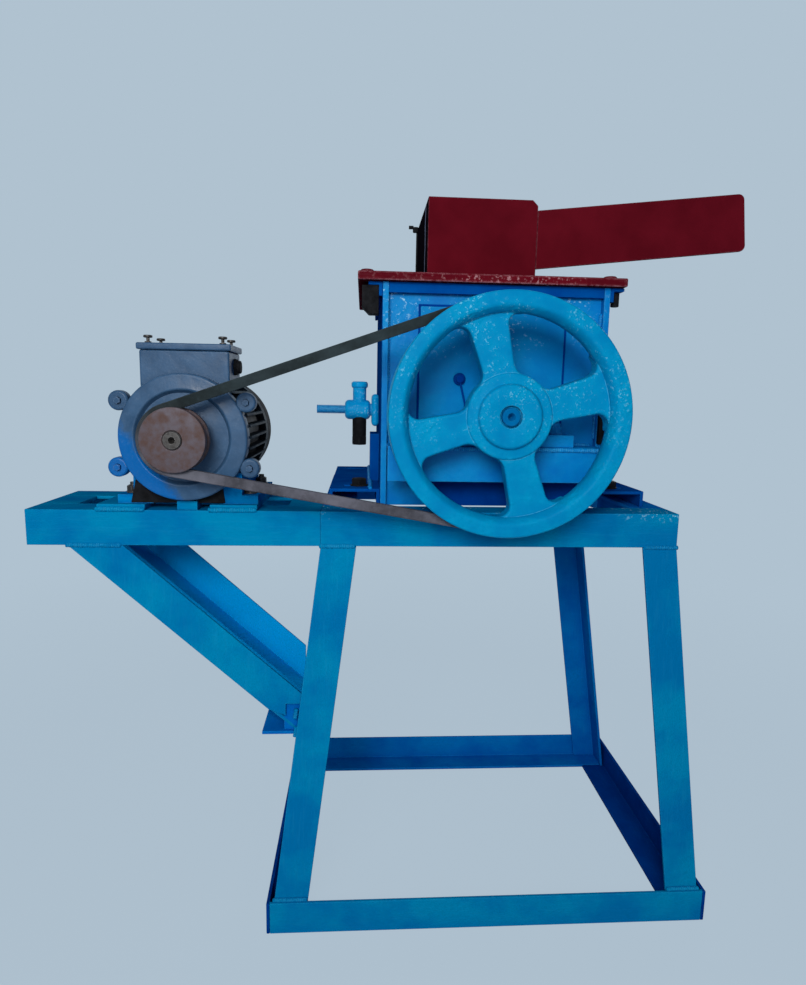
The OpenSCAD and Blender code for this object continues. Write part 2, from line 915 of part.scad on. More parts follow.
// Motor shaft: a short end in the shield and the part that carries the pulley.
module motor_shaft() {
  color(rust) place() at_motor()
    disc_y(motor_shaft_r, belt_y - pulley_w / 2 - 2, frame_y0 - 4);
}

// ---------------------------------------------------------------- belt drive

// Half section of a belt or a groove: radius outwards, width along the axis.
module vee(r_out, depth, width, gap) {
  half = width / 2 + gap;
  low = half - depth * tan(groove_angle);
  polygon([[r_out - depth, -low], [r_out, -half], [r_out, half], [r_out - depth, low]]);
}

// A section turned about Y: radius outwards, width along the axis, centred on the belt.
module turned_y() {
  translate([0, belt_y, 0])
    rotate([90, 0, 0])
      rotate_extrude()
        children();
}

// Half widths of a groove at the rim and at its bottom, with the belt's clearance.
function groove_half(r, r_belt) =
  belt_w / 2 + face_gap / cos(groove_angle) + (r - r_belt) * tan(groove_angle);

// A piece of the belt's arc about Y: from angle a0, turning by the sweep.
module belt_arc(r, a0, sweep) {
  translate([0, belt_y, 0])
    rotate([90, 0, 0])
      rotate([0, 0, a0])
        rotate_extrude(angle = sweep)
          vee(r, belt_t, belt_w, 0);
}

// A straight run of the belt, a hair slimmer than the arcs and reaching a little into them.
module belt_run(dir, slope) {
  slim = 0.05;
  lap = 1;
  rotate([0, -slope, 0])
    translate([-lap, belt_y, 0])
      rotate([0, 90, 0])
        linear_extrude(height = run_len + 2 * lap)
          rotate(dir > 0 ? 180 : 0)
            vee(belt_pulley_r - slim, belt_t - 2 * slim, belt_w, -slim);
}

module v_belt() {
  up = run_tilt + run_wrap;
  down = run_tilt - run_wrap;
  color(black) place() {
    translate([0, 0, shaft_z])
      belt_arc(belt_wheel_r, 270 + down, 180 + 2 * run_wrap);
    at_motor() {
      belt_arc(belt_pulley_r, 90 + up, 180 - 2 * run_wrap);
      belt_run(1, up);
      belt_run(-1, down);
    }
  }
}

// Rim, four spokes, web and boss in one casting.
module flywheel() {
  rim_in = wheel_r - rim_t;
  bevel = 10;
  groove_r = belt_wheel_r - belt_t - groove_depth;
  half_w = wheel_w / 2;
  top_half = groove_half(wheel_r, belt_wheel_r);
  low_half = groove_half(groove_r, belt_wheel_r);
  spoke_y0 = wheel_y0 + 14;
  spoke_y1 = wheel_y0 + 40;
  spoke_in = 0.6 * hub_r;
  rim_bite = 2;
  color(cyan) place() translate([0, 0, shaft_z]) difference() {
    union() {
      turned_y()
        polygon([[rim_in, bevel - half_w], [rim_in + bevel, -half_w], [wheel_r, -half_w],
                 [wheel_r, -top_half], [groove_r, -low_half], [groove_r, low_half],
                 [wheel_r, top_half], [wheel_r, half_w], [rim_in + bevel, half_w],
                 [rim_in, half_w - bevel]]);
      disc_y(web_r, spoke_y0 - 3, spoke_y1 + 2);
      disc_y(hub_r, wheel_y0 + 4, wheel_y0 + wheel_w - 4);
      for (i = [0 : 3])
        rotate([0, -spoke_turn - 90 * i, 0])
          flat_xz(spoke_y0, spoke_y1)
            polygon([[spoke_in, -spoke_hub_w / 2 + 3], [rim_in + rim_bite, -spoke_rim_w / 2],
                     [rim_in + rim_bite, spoke_rim_w / 2], [spoke_in, spoke_hub_w / 2 - 3]]);
    }
    disc_y(nose_r, wheel_y0 - cut, wheel_y0 + wheel_w + cut);
  }
}

module motor_pulley() {
  groove_r = belt_pulley_r - belt_t - groove_depth;
  half_w = pulley_w / 2;
  top_half = groove_half(pulley_r, belt_pulley_r);
  low_half = groove_half(groove_r, belt_pulley_r);
  color(rust) place() at_motor()
    turned_y()
      polygon([[motor_shaft_r, -half_w], [pulley_r, -half_w], [pulley_r, -top_half],
               [groove_r, -low_half], [groove_r, low_half], [pulley_r, top_half],
               [pulley_r, half_w], [motor_shaft_r, half_w]]);
}

// Crusher shaft, thinner where the flywheel sits.
module crusher_shaft() {
  y_shoulder = wheel_y0 + wheel_w - 4;
  y_end = table_d + splay_y + angle_t - 12;
  color(rust) place() translate([0, 0, shaft_z]) {
    disc_y(nose_r, wheel_y0 + 2, y_shoulder);
    disc_y(shaft_r, y_shoulder, y_end);
  }
}

// Toothed roll inside the body.
module crushing_roll() {
  clear = 6;
  y0 = plate_y0 + plate_t + clear;
  y1 = plate_y1 - plate_t - clear;
  tooth_w = 12;
  tooth_end = 3;
  color(black) place() translate([0, 0, shaft_z]) difference() {
    union() {
      disc_y(roll_r, y0, y1);
      for (i = [0 : tooth_rows - 1])
        rotate([0, i * 360 / tooth_rows, 0])
          block([roll_r - tooth_h, y0 + tooth_end, -tooth_w / 2],
                [roll_r + tooth_h, y1 - tooth_end, tooth_w / 2]);
    }
    disc_y(shaft_r, y0 - cut, y1 + cut);
  }
}

// ---------------------------------------------------------------- machine

base_front_bar();
base_back_bar();
base_side_bars();
front_legs();
back_legs();
table_front_rail();
table_back_rail();
table_end_angles();
platform_rails();
platform_end_angles();
motor_bars();
tension_block();
braces();
brace_seat_bar();
body_feet();
end_plate_left();
end_plate_right();
front_plate();
back_plate();
cover_plates();
top_angles();
bearing_shelves();
shaft_bearings();
breaker_plate();
flange_plate();
hopper_front_wall();
hopper_walls();
chute_front_cheek();
chute_tray();
clamp_blocks();
adjuster_boss();
adjuster_rod();
adjuster_lock_bolts();
motor_frame();
motor_end_shields();
motor_fan_cover();
motor_feet();
terminal_box();
terminal_box_lid();
v_belt();
crusher_shaft();
crushing_roll();
flywheel();
motor_shaft();
motor_pulley();
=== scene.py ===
"""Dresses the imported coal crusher: enamelled stand and body, flywheel, belt drive, motor, hopper.

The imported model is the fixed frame: every piece lies where its CAD node lies, in metres, +Z up.
"""

import json
import logging
import math
from dataclasses import dataclass, field
from enum import Enum
from typing import Iterable, Optional, Sequence

import bpy
from mathutils import Matrix, Vector


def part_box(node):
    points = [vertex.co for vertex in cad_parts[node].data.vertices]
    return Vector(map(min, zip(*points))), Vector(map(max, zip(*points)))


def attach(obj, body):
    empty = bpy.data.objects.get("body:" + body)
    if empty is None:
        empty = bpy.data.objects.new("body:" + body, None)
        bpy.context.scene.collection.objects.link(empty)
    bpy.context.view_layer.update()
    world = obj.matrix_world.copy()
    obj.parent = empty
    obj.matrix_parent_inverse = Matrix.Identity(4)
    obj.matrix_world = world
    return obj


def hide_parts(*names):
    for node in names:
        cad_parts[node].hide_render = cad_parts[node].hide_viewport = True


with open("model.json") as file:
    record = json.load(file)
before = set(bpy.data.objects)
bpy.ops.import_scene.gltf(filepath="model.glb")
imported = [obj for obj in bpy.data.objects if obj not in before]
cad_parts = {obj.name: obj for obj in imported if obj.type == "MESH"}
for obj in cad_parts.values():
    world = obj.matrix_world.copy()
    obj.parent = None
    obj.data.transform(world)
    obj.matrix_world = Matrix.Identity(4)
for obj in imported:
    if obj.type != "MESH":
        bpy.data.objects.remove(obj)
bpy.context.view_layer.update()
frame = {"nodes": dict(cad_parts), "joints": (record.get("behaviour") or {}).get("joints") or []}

LOG = logging.getLogger("coal_crusher")
MM = 0.001
FULL_TURN = 2 * math.pi
BEVEL_OVER = math.radians(32)
SMOOTH_UNDER = math.radians(50)
SAME_POINT = 1e-6
FLAT_UNDER = math.radians(0.6)
EDGE_RANGE = (0.995, 0.86)  # from where a rounded normal leaves the face's to a full edge
FIRST_COLOUR, SECOND_COLOUR = 6, 7  # the colour sockets of a mix node
ON_AXIS = 0.05 * MM  # where the outline of a solid round part meets its axis

Piece = bpy.types.Object
Material = bpy.types.Material
Tree = bpy.types.NodeTree
Socket = bpy.types.NodeSocket
Pair = tuple[float, float]
Point = Sequence[float]


# ---------------------------------------------------------------- small tools


class Facing(Enum):
    """Which way a fastener or a round part points, as a turn of its own +Z."""

    UP = (0.0, 0.0, 0.0)
    DOWN = (math.pi, 0.0, 0.0)
    FRONT = (math.pi / 2, 0.0, 0.0)
    BACK = (-math.pi / 2, 0.0, 0.0)
    LEFT = (0.0, -math.pi / 2, 0.0)
    RIGHT = (0.0, math.pi / 2, 0.0)


class Grain(Enum):
    """Direction in which a brush, a rolling mill or a lathe has left its lines."""

    ALONG_X = (0.08, 1.0, 1.0)
    ALONG_Y = (1.0, 0.08, 1.0)
    ALONG_Z = (1.0, 1.0, 0.08)
    NONE = (1.0, 1.0, 1.0)


def linear(colour: str) -> tuple[float, float, float, float]:
    """Turns an sRGB hex colour into the linear values that shaders take.

    Args:
        colour: Six hex digits after a hash sign.

    Returns:
        Red, green, blue and an alpha of 1.
    """
    parts = [int(colour[i : i + 2], 16) / 255 for i in (1, 3, 5)]
    low = [p / 12.92 if p <= 0.04045 else ((p + 0.055) / 1.055) ** 2.4 for p in parts]
    return (low[0], low[1], low[2], 1.0)


def extent(node: str) -> tuple[Vector, Vector]:
    """Returns the lowest and the highest corner of a CAD node."""
    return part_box(node)


def middle(node: str) -> Vector:
    """Returns the middle of a CAD node's box."""
    low, high = extent(node)
    return Vector(((low.x + high.x) / 2, (low.y + high.y) / 2, (low.z + high.z) / 2))


def line_x(x0: float, x1: float, y: float, z: float) -> tuple[Vector, Vector]:
    """Returns the two ends of a line along X."""
    return Vector((x0, y, z)), Vector((x1, y, z))


def line_z(x: float, y: float, z0: float, z1: float) -> tuple[Vector, Vector]:
    """Returns the two ends of a line along Z."""
    return Vector((x, y, z0)), Vector((x, y, z1))


def only(*pieces: Piece) -> None:
    """Selects just these objects and makes the first one active.

    Args:
        *pieces: The objects to select.
    """
    bpy.ops.object.select_all(action="DESELECT")
    for piece in pieces:
        piece.select_set(True)
    bpy.context.view_layer.objects.active = pieces[0]


def settle(piece: Piece, name: str) -> Piece:
    """Names an object and moves its place, turn and scale into its mesh.

    Args:
        piece: The object, wherever it stands.
        name: Its new name.

    Returns:
        The same object, at the origin.
    """
    piece.name = name
    piece.data.name = name
    only(piece)
    bpy.ops.object.transform_apply(location=True, rotation=True, scale=True)
    return piece


def apply_modifier(piece: Piece, kind: str, **settings: object) -> Piece:
    """Adds one modifier with its settings and applies it at once.

    Args:
        piece: The object to change.
        kind: The modifier's type.
        **settings: The modifier's own properties.

    Returns:
        The same object.
    """
    modifier = piece.modifiers.new(kind.lower(), kind)
    for key, value in settings.items():
        setattr(modifier, key, value)
    only(piece)
    bpy.ops.object.modifier_apply(modifier=modifier.name)
    return piece


def repeated(piece: Piece, count: int, step: float) -> Piece:
    """Repeats a piece along X.

    Args:
        piece: The object to repeat.
        count: Number of pieces in the row.
        step: Distance from each to the next.

    Returns:
        The same object, now the whole row.
    """
    return apply_modifier(
        piece, "ARRAY", count=count, use_relative_offset=False, use_constant_offset=True,
        constant_offset_displace=(step, 0, 0),
    )


def round_edges(piece: Piece, width: float, segments: int = 2) -> Piece:
    """Rounds the sharp edges of a piece and leaves its flat faces flat.

    Args:
        piece: The object to change.
        width: Width of the rounding, in metres.
        segments: Facets across the rounding.

    Returns:
        The same object.
    """
    apply_modifier(
        piece, "BEVEL", width=width, segments=segments, limit_method="ANGLE",
        angle_limit=BEVEL_OVER, use_clamp_overlap=True,
    )
    only(piece)
    bpy.ops.object.shade_smooth_by_angle(angle=SMOOTH_UNDER)
    return apply_modifier(piece, "WEIGHTED_NORMAL", keep_sharp=True, weight=60)


def smooth(piece: Piece, degrees: float = 35) -> Piece:
    """Shades a piece smooth, except over edges sharper than an angle.

    Args:
        piece: The object to change.
        degrees: The sharpest angle that is still smoothed.

    Returns:
        The same object.
    """
    only(piece)
    bpy.ops.object.shade_smooth_by_angle(angle=math.radians(degrees))
    return piece


def in_edit_mode(piece: Piece) -> None:
    """Opens a piece in edit mode with everything selected.

    Args:
        piece: The object to open.
    """
    only(piece)
    bpy.ops.object.mode_set(mode="EDIT")
    bpy.ops.mesh.select_all(action="SELECT")


def block(name: str, low: Point, high: Point) -> Piece:
    """Adds a box between two corners.

    Args:
        name: The object's name.
        low: Its lowest corner.
        high: Its highest corner.

    Returns:
        The new object.
    """
    low_corner, high_corner = Vector(low), Vector(high)
    bpy.ops.mesh.primitive_cube_add(
        size=1, location=(low_corner + high_corner) / 2, scale=high_corner - low_corner
    )
    return settle(bpy.context.object, name)


def rod(
    name: str, base: Point, facing: Facing, radius: float, length: float, sides: int = 32
) -> Piece:
    """Adds a round or many-sided bar that starts at a point.

    Args:
        name: The object's name.
        base: The middle of its first end.
        facing: The way it points from there.
        radius: Its radius.
        length: Its length.
        sides: Number of sides.

    Returns:
        The new object.
    """
    bpy.ops.mesh.primitive_cylinder_add(vertices=sides, radius=radius, depth=length)
    piece = bpy.context.object
    piece.data.transform(Matrix.Translation((0, 0, length / 2)))
    piece.rotation_euler = facing.value
    piece.location = base
    return settle(piece, name)


def shaped_loop(points: Sequence[Vector], filled: bool) -> Piece:
    """Adds a circle primitive and moves its points on to an outline.

    Args:
        points: The outline's corners, in order.
        filled: Whether the outline gets a face.

    Returns:
        The new object, in object mode.
    """
    bpy.ops.mesh.primitive_circle_add(
        vertices=len(points), radius=1, fill_type="NGON" if filled else "NOTHING"
    )
    piece = bpy.context.object
    for vertex, point in zip(piece.data.vertices, points):
        vertex.co = point
    return piece


def prism(name: str, outline: Sequence[Vector], along: Point) -> Piece:
    """Extrudes a flat outline into a solid.

    Args:
        name: The object's name.
        outline: Corners of the outline, in order.
        along: The way and the length of the extrusion.

    Returns:
        The new object.
    """
    piece = shaped_loop(outline, filled=True)
    in_edit_mode(piece)
    bpy.ops.mesh.extrude_region_move(TRANSFORM_OT_translate={"value": tuple(along)})
    bpy.ops.mesh.select_all(action="SELECT")
    bpy.ops.mesh.normals_make_consistent(inside=False)
    bpy.ops.object.mode_set(mode="OBJECT")
    return settle(piece, name)


def turned(name: str, centre: Vector, section: Sequence[Pair], steps: int = 96) -> Piece:
    """Spins a closed section about an axis along Y.

    Args:
        name: The object's name.
        centre: A point on the axis.
        section: Pairs of radius and distance along Y from the centre.
        steps: Facets round the turn.

    Returns:
        The new object.
    """
    points = [centre + Vector((radius, along, 0)) for radius, along in section]
    piece = shaped_loop(points, filled=False)
    in_edit_mode(piece)
    bpy.ops.mesh.spin(steps=steps, angle=FULL_TURN, center=centre, axis=(0, 1, 0))
    bpy.ops.mesh.select_all(action="SELECT")
    bpy.ops.mesh.remove_doubles(threshold=SAME_POINT)
    bpy.ops.mesh.dissolve_degenerate(threshold=1e-7)
    bpy.ops.mesh.normals_make_consistent(inside=False)
    bpy.ops.object.mode_set(mode="OBJECT")
    return settle(piece, name)


def arc(centre: Pair, radius: float, start: float, stop: float, count: int) -> list[Pair]:
    """Returns points along an arc of a section, its first and last angle in degrees."""
    angles = [math.radians(start + (stop - start) * i / (count - 1)) for i in range(count)]
    return [(centre[0] + radius * math.cos(a), centre[1] + radius * math.sin(a)) for a in angles]


def joined(name: str, pieces: Iterable[Piece]) -> Piece:
    """Joins several meshes into one object.

    Args:
        name: The object's name.
        pieces: The objects to join.

    Returns:
        The joined object.
    """
    members = list(pieces)
    only(*members)
    if len(members) > 1:
        bpy.ops.object.join()
    return settle(members[0], name)


def from_node(node: str) -> Piece:
    """Copies a CAD node's mesh as whole faces, ready to be finished.

    Args:
        node: The CAD node's name.

    Returns:
        The new object, at the origin.
    """
    piece = bpy.data.objects.new(node + ".made", frame["nodes"][node].data.copy())
    bpy.context.scene.collection.objects.link(piece)
    piece.data.materials.clear()
    only(piece)
    bpy.ops.mesh.customdata_custom_splitnormals_clear()
    in_edit_mode(piece)
    bpy.ops.mesh.remove_doubles(threshold=5e-6)
    bpy.ops.mesh.dissolve_limited(angle_limit=FLAT_UNDER)
    bpy.ops.object.mode_set(mode="OBJECT")
    return piece


def place(piece: Piece, material: Material, slot: str, *nodes: str, body: str = "root") -> Piece:
    """Gives a finished piece its material and the body that it rides on.

    Args:
        piece: The finished object.
        material: Its material.
        slot: The record's material slot; not used.
        *nodes: CAD nodes that it stands for.
        body: The CAD body that carries it.

    Returns:
        The same object.
    """
    piece.data.materials.clear()
    piece.data.materials.append(material)
    for face in piece.data.polygons:
        face.material_index = 0
    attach(piece, body)
    if nodes:
        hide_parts(*nodes)
    LOG.info("%s: %d faces on %s", piece.name, len(piece.data.polygons), body)
    return piece


def dress(node: str, material: Material, slot: str, width: float, segments: int = 2) -> Piece:
    """Rounds a CAD node's own shape, and lets it stand for the node on the fixed body."""
    return place(round_edges(from_node(node), width, segments), material, slot, node)


# ---------------------------------------------------------------- finishes


def add_node(
    tree: Tree, kind: str, links: Optional[dict] = None, **settings: object
) -> bpy.types.Node:
    """Adds one shader node with its settings, socket values and links.

    Args:
        tree: The material's or the world's node tree.
        kind: The node's type.
        links: Socket name or number to a value, or to another node's output socket.
        **settings: The node's own properties.

    Returns:
        The new node.
    """
    node = tree.nodes.new(kind)
    for key, value in settings.items():
        setattr(node, key, value)
    for key, value in (links or {}).items():
        socket = node.inputs[key]
        if isinstance(value, Socket):
            tree.links.new(value, socket)
        else:
            socket.default_value = value
    return node


def per_metre(feature_mm: float) -> float:
    """Returns the texture scale at which a pattern has features of a real size."""
    return 1 / (feature_mm * MM)


def part_of(tree: Tree, vector: Socket, axis: str) -> Socket:
    """Takes one part out of a vector."""
    return add_node(tree, "ShaderNodeSeparateXYZ", {0: vector}).outputs[axis]


def coordinates(tree: Tree, grain: Grain = Grain.NONE) -> tuple[Socket, Socket]:
    """Returns the object's coordinates, plain and drawn out along the grain.

    Args:
        tree: The node tree.
        grain: The direction that the pattern is drawn out in.

    Returns:
        The plain coordinates and the drawn-out ones.
    """
    where = add_node(tree, "ShaderNodeTexCoord").outputs["Object"]
    links = {"Vector": where, "Scale": grain.value}
    return where, add_node(tree, "ShaderNodeMapping", links).outputs["Vector"]


def seen_directly(tree: Tree) -> Socket:
    """Finds the rays that come from the camera, straight or by way of gloss or glass.

    Args:
        tree: The node tree.

    Returns:
        1 for such a ray and 0 for any other.
    """
    path = add_node(tree, "ShaderNodeLightPath").outputs
    by_way = sums(tree, "MAXIMUM", path["Is Glossy Ray"], path["Is Transmission Ray"])
    return sums(tree, "MAXIMUM", path["Is Camera Ray"], by_way)


def noise(
    tree: Tree, where: Socket, feature_mm: float, detail: float = 4.0, rough: float = 0.55,
) -> Socket:
    """Adds a noise whose features have a real size, and gives its value."""
    links = {"Vector": where, "Scale": per_metre(feature_mm), "Detail": detail, "Roughness": rough}
    return add_node(tree, "ShaderNodeTexNoise", links).outputs["Fac"]


def ramp(tree: Tree, value: Socket, source: Pair, target: Pair = (0.0, 1.0)) -> Socket:
    """Stretches a value from one range to another and clips it there.

    Args:
        tree: The node tree.
        value: The value.
        source: The range that it comes in.
        target: The range that it goes to.

    Returns:
        The new value.
    """
    links = {
        "Value": value,
        "From Min": source[0],
        "From Max": source[1],
        "To Min": target[0],
        "To Max": target[1],
    }
    return add_node(tree, "ShaderNodeMapRange", links).outputs["Result"]


def sums(tree: Tree, operation: str, first: object, second: object) -> Socket:
    """Works out one sum of two values."""
    return add_node(tree, "ShaderNodeMath", {0: first, 1: second}, operation=operation).outputs[0]


def blend(tree: Tree, share: object, first: object, second: object) -> Socket:
    """Blends two colours by a share from 0 to 1."""
    links = {"Factor": share, FIRST_COLOUR: first, SECOND_COLOUR: second}
    return add_node(tree, "ShaderNodeMix", links, data_type="RGBA").outputs[2]


def bumped(
    tree: Tree, height: Socket, depth_mm: float, under: Optional[Socket] = None,
    strength: object = 1.0,
) -> Socket:
    """Turns a height into a bumped normal.

    Args:
        tree: The node tree.
        height: The height, from 0 to 1.
        depth_mm: Its real depth.
        under: The normal that it lies on.
        strength: How much of it shows.

    Returns:
        The bumped normal.
    """
    links = {"Strength": strength, "Distance": depth_mm * MM, "Height": height}
    if under is not None:
        links["Normal"] = under
    return add_node(tree, "ShaderNodeBump", links).outputs["Normal"]


def edge_mask(tree: Tree, width_mm: float) -> Socket:
    """Finds the edges of a piece: 1 where a rounded normal leaves the face's own.

    Args:
        tree: The node tree.
        width_mm: Width of the edge, as rounded by wear.

    Returns:
        The mask's value.
    """
    rounded = add_node(tree, "ShaderNodeBevel", {"Radius": width_mm * MM}, samples=4)
    own = add_node(tree, "ShaderNodeNewGeometry")
    links = {0: rounded.outputs["Normal"], 1: own.outputs["Normal"]}
    alike = add_node(tree, "ShaderNodeVectorMath", links, operation="DOT_PRODUCT").outputs["Value"]
    return ramp(tree, alike, EDGE_RANGE)


@dataclass(frozen=True)
class Finish:
    """A named finish, from which a node material can be built."""

    name: str

    def material(self) -> Material:
        """Builds the node material.

        Returns:
            The new material.
        """
        material = bpy.data.materials.new(self.name)
        material.use_nodes = True
        tree = material.node_tree
        tree.nodes.clear()
        add_node(tree, "ShaderNodeOutputMaterial", {"Surface": self.surface(tree).outputs[0]})
        return material

    def surface(self, tree: Tree) -> bpy.types.Node:
        """Mixes the shader from the finish's values."""
        raise NotImplementedError


@dataclass(frozen=True)
class Enamel(Finish):
    """Enamel brushed thickly over steel: glossy and lumpy, with worn edges.

    The brush leaves fine ridges along the piece and thicker lumps in patches, whose tips carry
    painted highlight specks. The film is deeper in colour where it is thick, and darker in corners
    as painted shade. Its edges are lighter, worn thin and partly a painted highlight, and it has
    chips down to dark steel.
    """

    tone: str
    deep: str
    pale: str
    chip: str
    grain: Grain = Grain.NONE
    highlight_tone: str = "#B4E6F2"
    highlight_share: float = 0.0
    highlight_mm: float = 5.0
    highlight_rise: Pair = (0.0, 0.01)
    highlight_range: Pair = (0.785, 0.86)
    lump_in_highlight: float = 0.4
    roughness: float = 0.36
    specular: float = 0.0
    brush_mm: float = 3.5
    patch_mm: float = 80.0
    lump_mm: float = 8.0
    lump_depth_mm: float = 1.0
    edge_mm: float = 1.6
    chips: float = 0.5
    rub_and_sheen_share: float = 0.6
    pale_share: float = 0.07
    shade_corner_mm: float = 35.0
    spot_mm: float = 6.0
    dry_range: Pair = (0.44, 0.58)
    streak_range: Pair = (0.52, 0.8)
    rub_and_sheen_range: Pair = (0.35, 0.6)
    chip_range: Pair = (0.76, 0.79)
    edge_in_chip: float = 0.14
    thick_range: Pair = (0.62, 0.38)
    thick_share: float = 0.6
    shade_corner_range: Pair = (0.85, 0.3)
    shade_corner_share: float = 0.75
    gloss_range: Pair = (0.3, 0.7)
    gloss_less: float = 0.08
    gloss_more: float = 0.12

    def colour(self, tree: Tree, where: Socket, patches: Socket) -> Socket:
        """Gives the paint's colour, deeper in patches, and darker in corners as painted shade.

        Args:
            tree: The material's tree.
            where: Object coordinates, which the finishes built on this one use.
            patches: The noise of thick and thin paint.

        Returns:
            The colour before wear.
        """
        # Ambient occlusion darkens corners and recesses towards the deep tone: painted shade.
        open_share = add_node(
            tree, "ShaderNodeAmbientOcclusion", {"Distance": self.shade_corner_mm * MM}, samples=4
        ).outputs["AO"]
        thick = ramp(tree, patches, self.thick_range, (0.0, self.thick_share))
        corner = ramp(tree, open_share, self.shade_corner_range, (0.0, self.shade_corner_share))
        share = sums(tree, "MAXIMUM", thick, corner)
        return blend(tree, share, linear(self.tone), linear(self.deep))

    def painted_highlights(self, tree: Tree, where: Socket, lumps: Socket) -> Socket:
        """Paints highlight specks on the tips of the lumps, more towards the top of the piece,
        where light falls.

        Args:
            tree: The material's tree.
            where: Object coordinates.
            lumps: The noise of the lumps.

        Returns:
            How much of the painted highlight colour shows.
        """
        height = part_of(tree, where, "Z")
        rise = ramp(tree, height, self.highlight_rise)
        fine = noise(tree, where, self.highlight_mm, detail=4.0, rough=0.7)
        field = sums(tree, "ADD", fine, sums(tree, "MULTIPLY", lumps, self.lump_in_highlight))
        tips = ramp(tree, field, self.highlight_range)
        return sums(tree, "MULTIPLY", tips, sums(tree, "MULTIPLY", rise, self.highlight_share))

    def surface(self, tree: Tree) -> bpy.types.Node:
        """Mixes the shader from the finish's values.

        Args:
            tree: The material's tree.

        Returns:
            The shader node.
        """
        where, stretched = coordinates(tree, self.grain)
        brush = noise(tree, stretched, self.brush_mm, detail=3.0, rough=0.6)
        patches = noise(tree, where, self.patch_mm)
        lumps = noise(tree, where, self.lump_mm, detail=2.5, rough=0.5)
        spots = noise(tree, where, self.spot_mm, detail=5.0, rough=0.65)
        edge = edge_mask(tree, self.edge_mm)
        patches_dry = ramp(tree, patches, self.dry_range)
        colour = self.colour(tree, where, patches)
        streaks = ramp(tree, brush, self.streak_range, (0.0, self.pale_share))
        colour = blend(tree, streaks, colour, linear(self.pale))
        # Pale specks on the lump tips: painted highlights.
        painted_highlights = sums(tree, "MULTIPLY", self.painted_highlights(tree, where, lumps), patches_dry)
        colour = blend(tree, painted_highlights, colour, linear(self.highlight_tone))
        # Edges blend towards the pale tone: worn thin paint, partly a painted highlight.
        rubbed_and_sheen = ramp(tree, spots, self.rub_and_sheen_range, (0.0, self.rub_and_sheen_share))
        edge_rub_and_sheen = sums(tree, "MULTIPLY", edge, rubbed_and_sheen)
        colour = blend(tree, edge_rub_and_sheen, colour, linear(self.pale))
        chip_field = sums(tree, "ADD", spots, sums(tree, "MULTIPLY", edge, self.edge_in_chip))
        chipped = ramp(tree, chip_field, self.chip_range, (0.0, self.chips))
        colour = blend(tree, chipped, colour, linear(self.chip))
        glossy, matt = self.roughness - self.gloss_less, self.roughness + self.gloss_more
        gloss = ramp(tree, patches, self.gloss_range, (glossy, matt))
        waves = bumped(tree, patches, 2.0, strength=0.5)
        lumpy = bumped(
            tree, lumps, self.lump_depth_mm, waves, ramp(tree, patches, (0.45, 0.6), (0.15, 1.0))
        )
        ridges = bumped(tree, brush, depth_mm=0.15, under=lumpy, strength=0.5)
        return add_node(
            tree,
            "ShaderNodeBsdfPrincipled",
            {
                "Base Color": colour, "Roughness": gloss, "Normal": ridges,
                "Specular IOR Level": self.specular,
            },
        )


@dataclass(frozen=True)
class MotorEnamel(Enamel):
    """Grey machine enamel on cast iron, with blue overspray from the stand near the feet."""

    over: str = "#005CA0"
    over_from: float = 0.0
    over_reach: float = 0.045
    over_lean: float = 1.3
    over_ragged: float = 0.06
    ragged_mm: float = 22.0

    def colour(self, tree: Tree, where: Socket, patches: Socket) -> Socket:
        """Gives the grey colour, with overspray fading in towards the platform.

        Args:
            tree: The material's tree.
            where: Object coordinates.
            patches: The noise of thick and thin paint.

        Returns:
            The colour before wear.
        """
        grey = super().colour(tree, where, patches)
        lean = sums(tree, "MULTIPLY", part_of(tree, where, "X"), self.over_lean)
        level = sums(tree, "ADD", part_of(tree, where, "Z"), lean)
        rags = noise(tree, where, self.ragged_mm, detail=5.0, rough=0.7)
        ragged = sums(tree, "MULTIPLY", rags, self.over_ragged)
        height = sums(tree, "ADD", level, ragged)
        share = ramp(tree, height, (self.over_from + self.over_reach, self.over_from))
        return blend(tree, share, grey, linear(self.over))


@dataclass(frozen=True)
class BackLitBraceEnamel(Enamel):
    """Stand enamel painted a lighter blue on the brace at the back: painted light against the shade
    there.
    """

    behind: str = "#0098DC"
    middle: float = -0.102
    half_blend: float = 0.02

    def colour(self, tree: Tree, where: Socket, patches: Socket) -> Socket:
        """Gives the stand's colour in front, and behind the middle the lighter blue of painted
        light.

        Args:
            tree: The material's tree.
            where: Object coordinates.
            patches: The noise of thick and thin paint.

        Returns:
            The colour before wear.
        """
        near = super().colour(tree, where, patches)
        depth = part_of(tree, where, "Y")
        share = ramp(tree, depth, (self.middle - self.half_blend, self.middle + self.half_blend))
        return blend(tree, share, near, linear(self.behind))


@dataclass(frozen=True)
class ShadedLeftEnamel(Enamel):
    """Red oxide enamel whose left-facing side is painted black as shade, with one pale streak of
    painted reflection.
    """

    left_shade: str = "#18141A"
    streak_reflection: str = "#8C98AC"
    streak_at: float = -0.02
    streak_half: float = 0.007
    left_range: Pair = (-0.4, -0.8)
    wander_mm: float = 30.0
    wander_share: float = 0.02

    def colour(self, tree: Tree, where: Socket, patches: Socket) -> Socket:
        """Gives the red, with painted shade and the upright painted reflection streak on what faces
        left.

        Args:
            tree: The material's tree.
            where: Object coordinates.
            patches: The noise of thick and thin paint.

        Returns:
            The colour before wear.
        """
        red = super().colour(tree, where, patches)
        way = add_node(tree, "ShaderNodeNewGeometry").outputs["Normal"]
        facing = part_of(tree, way, "X")
        left = ramp(tree, facing, self.left_range)
        depth = part_of(tree, where, "Y")
        drift = noise(tree, where, self.wander_mm, detail=3.0)
        wander = sums(tree, "MULTIPLY", drift, self.wander_share)
        place_y = sums(tree, "ADD", depth, wander)
        off = sums(tree, "ABSOLUTE", sums(tree, "SUBTRACT", place_y, self.streak_at), 0.0)
        reflection_streak = ramp(tree, off, (self.streak_half, self.streak_half * 0.5))
        dark = blend(tree, reflection_streak, linear(self.left_shade), linear(self.streak_reflection))
        return blend(tree, left, red, dark)


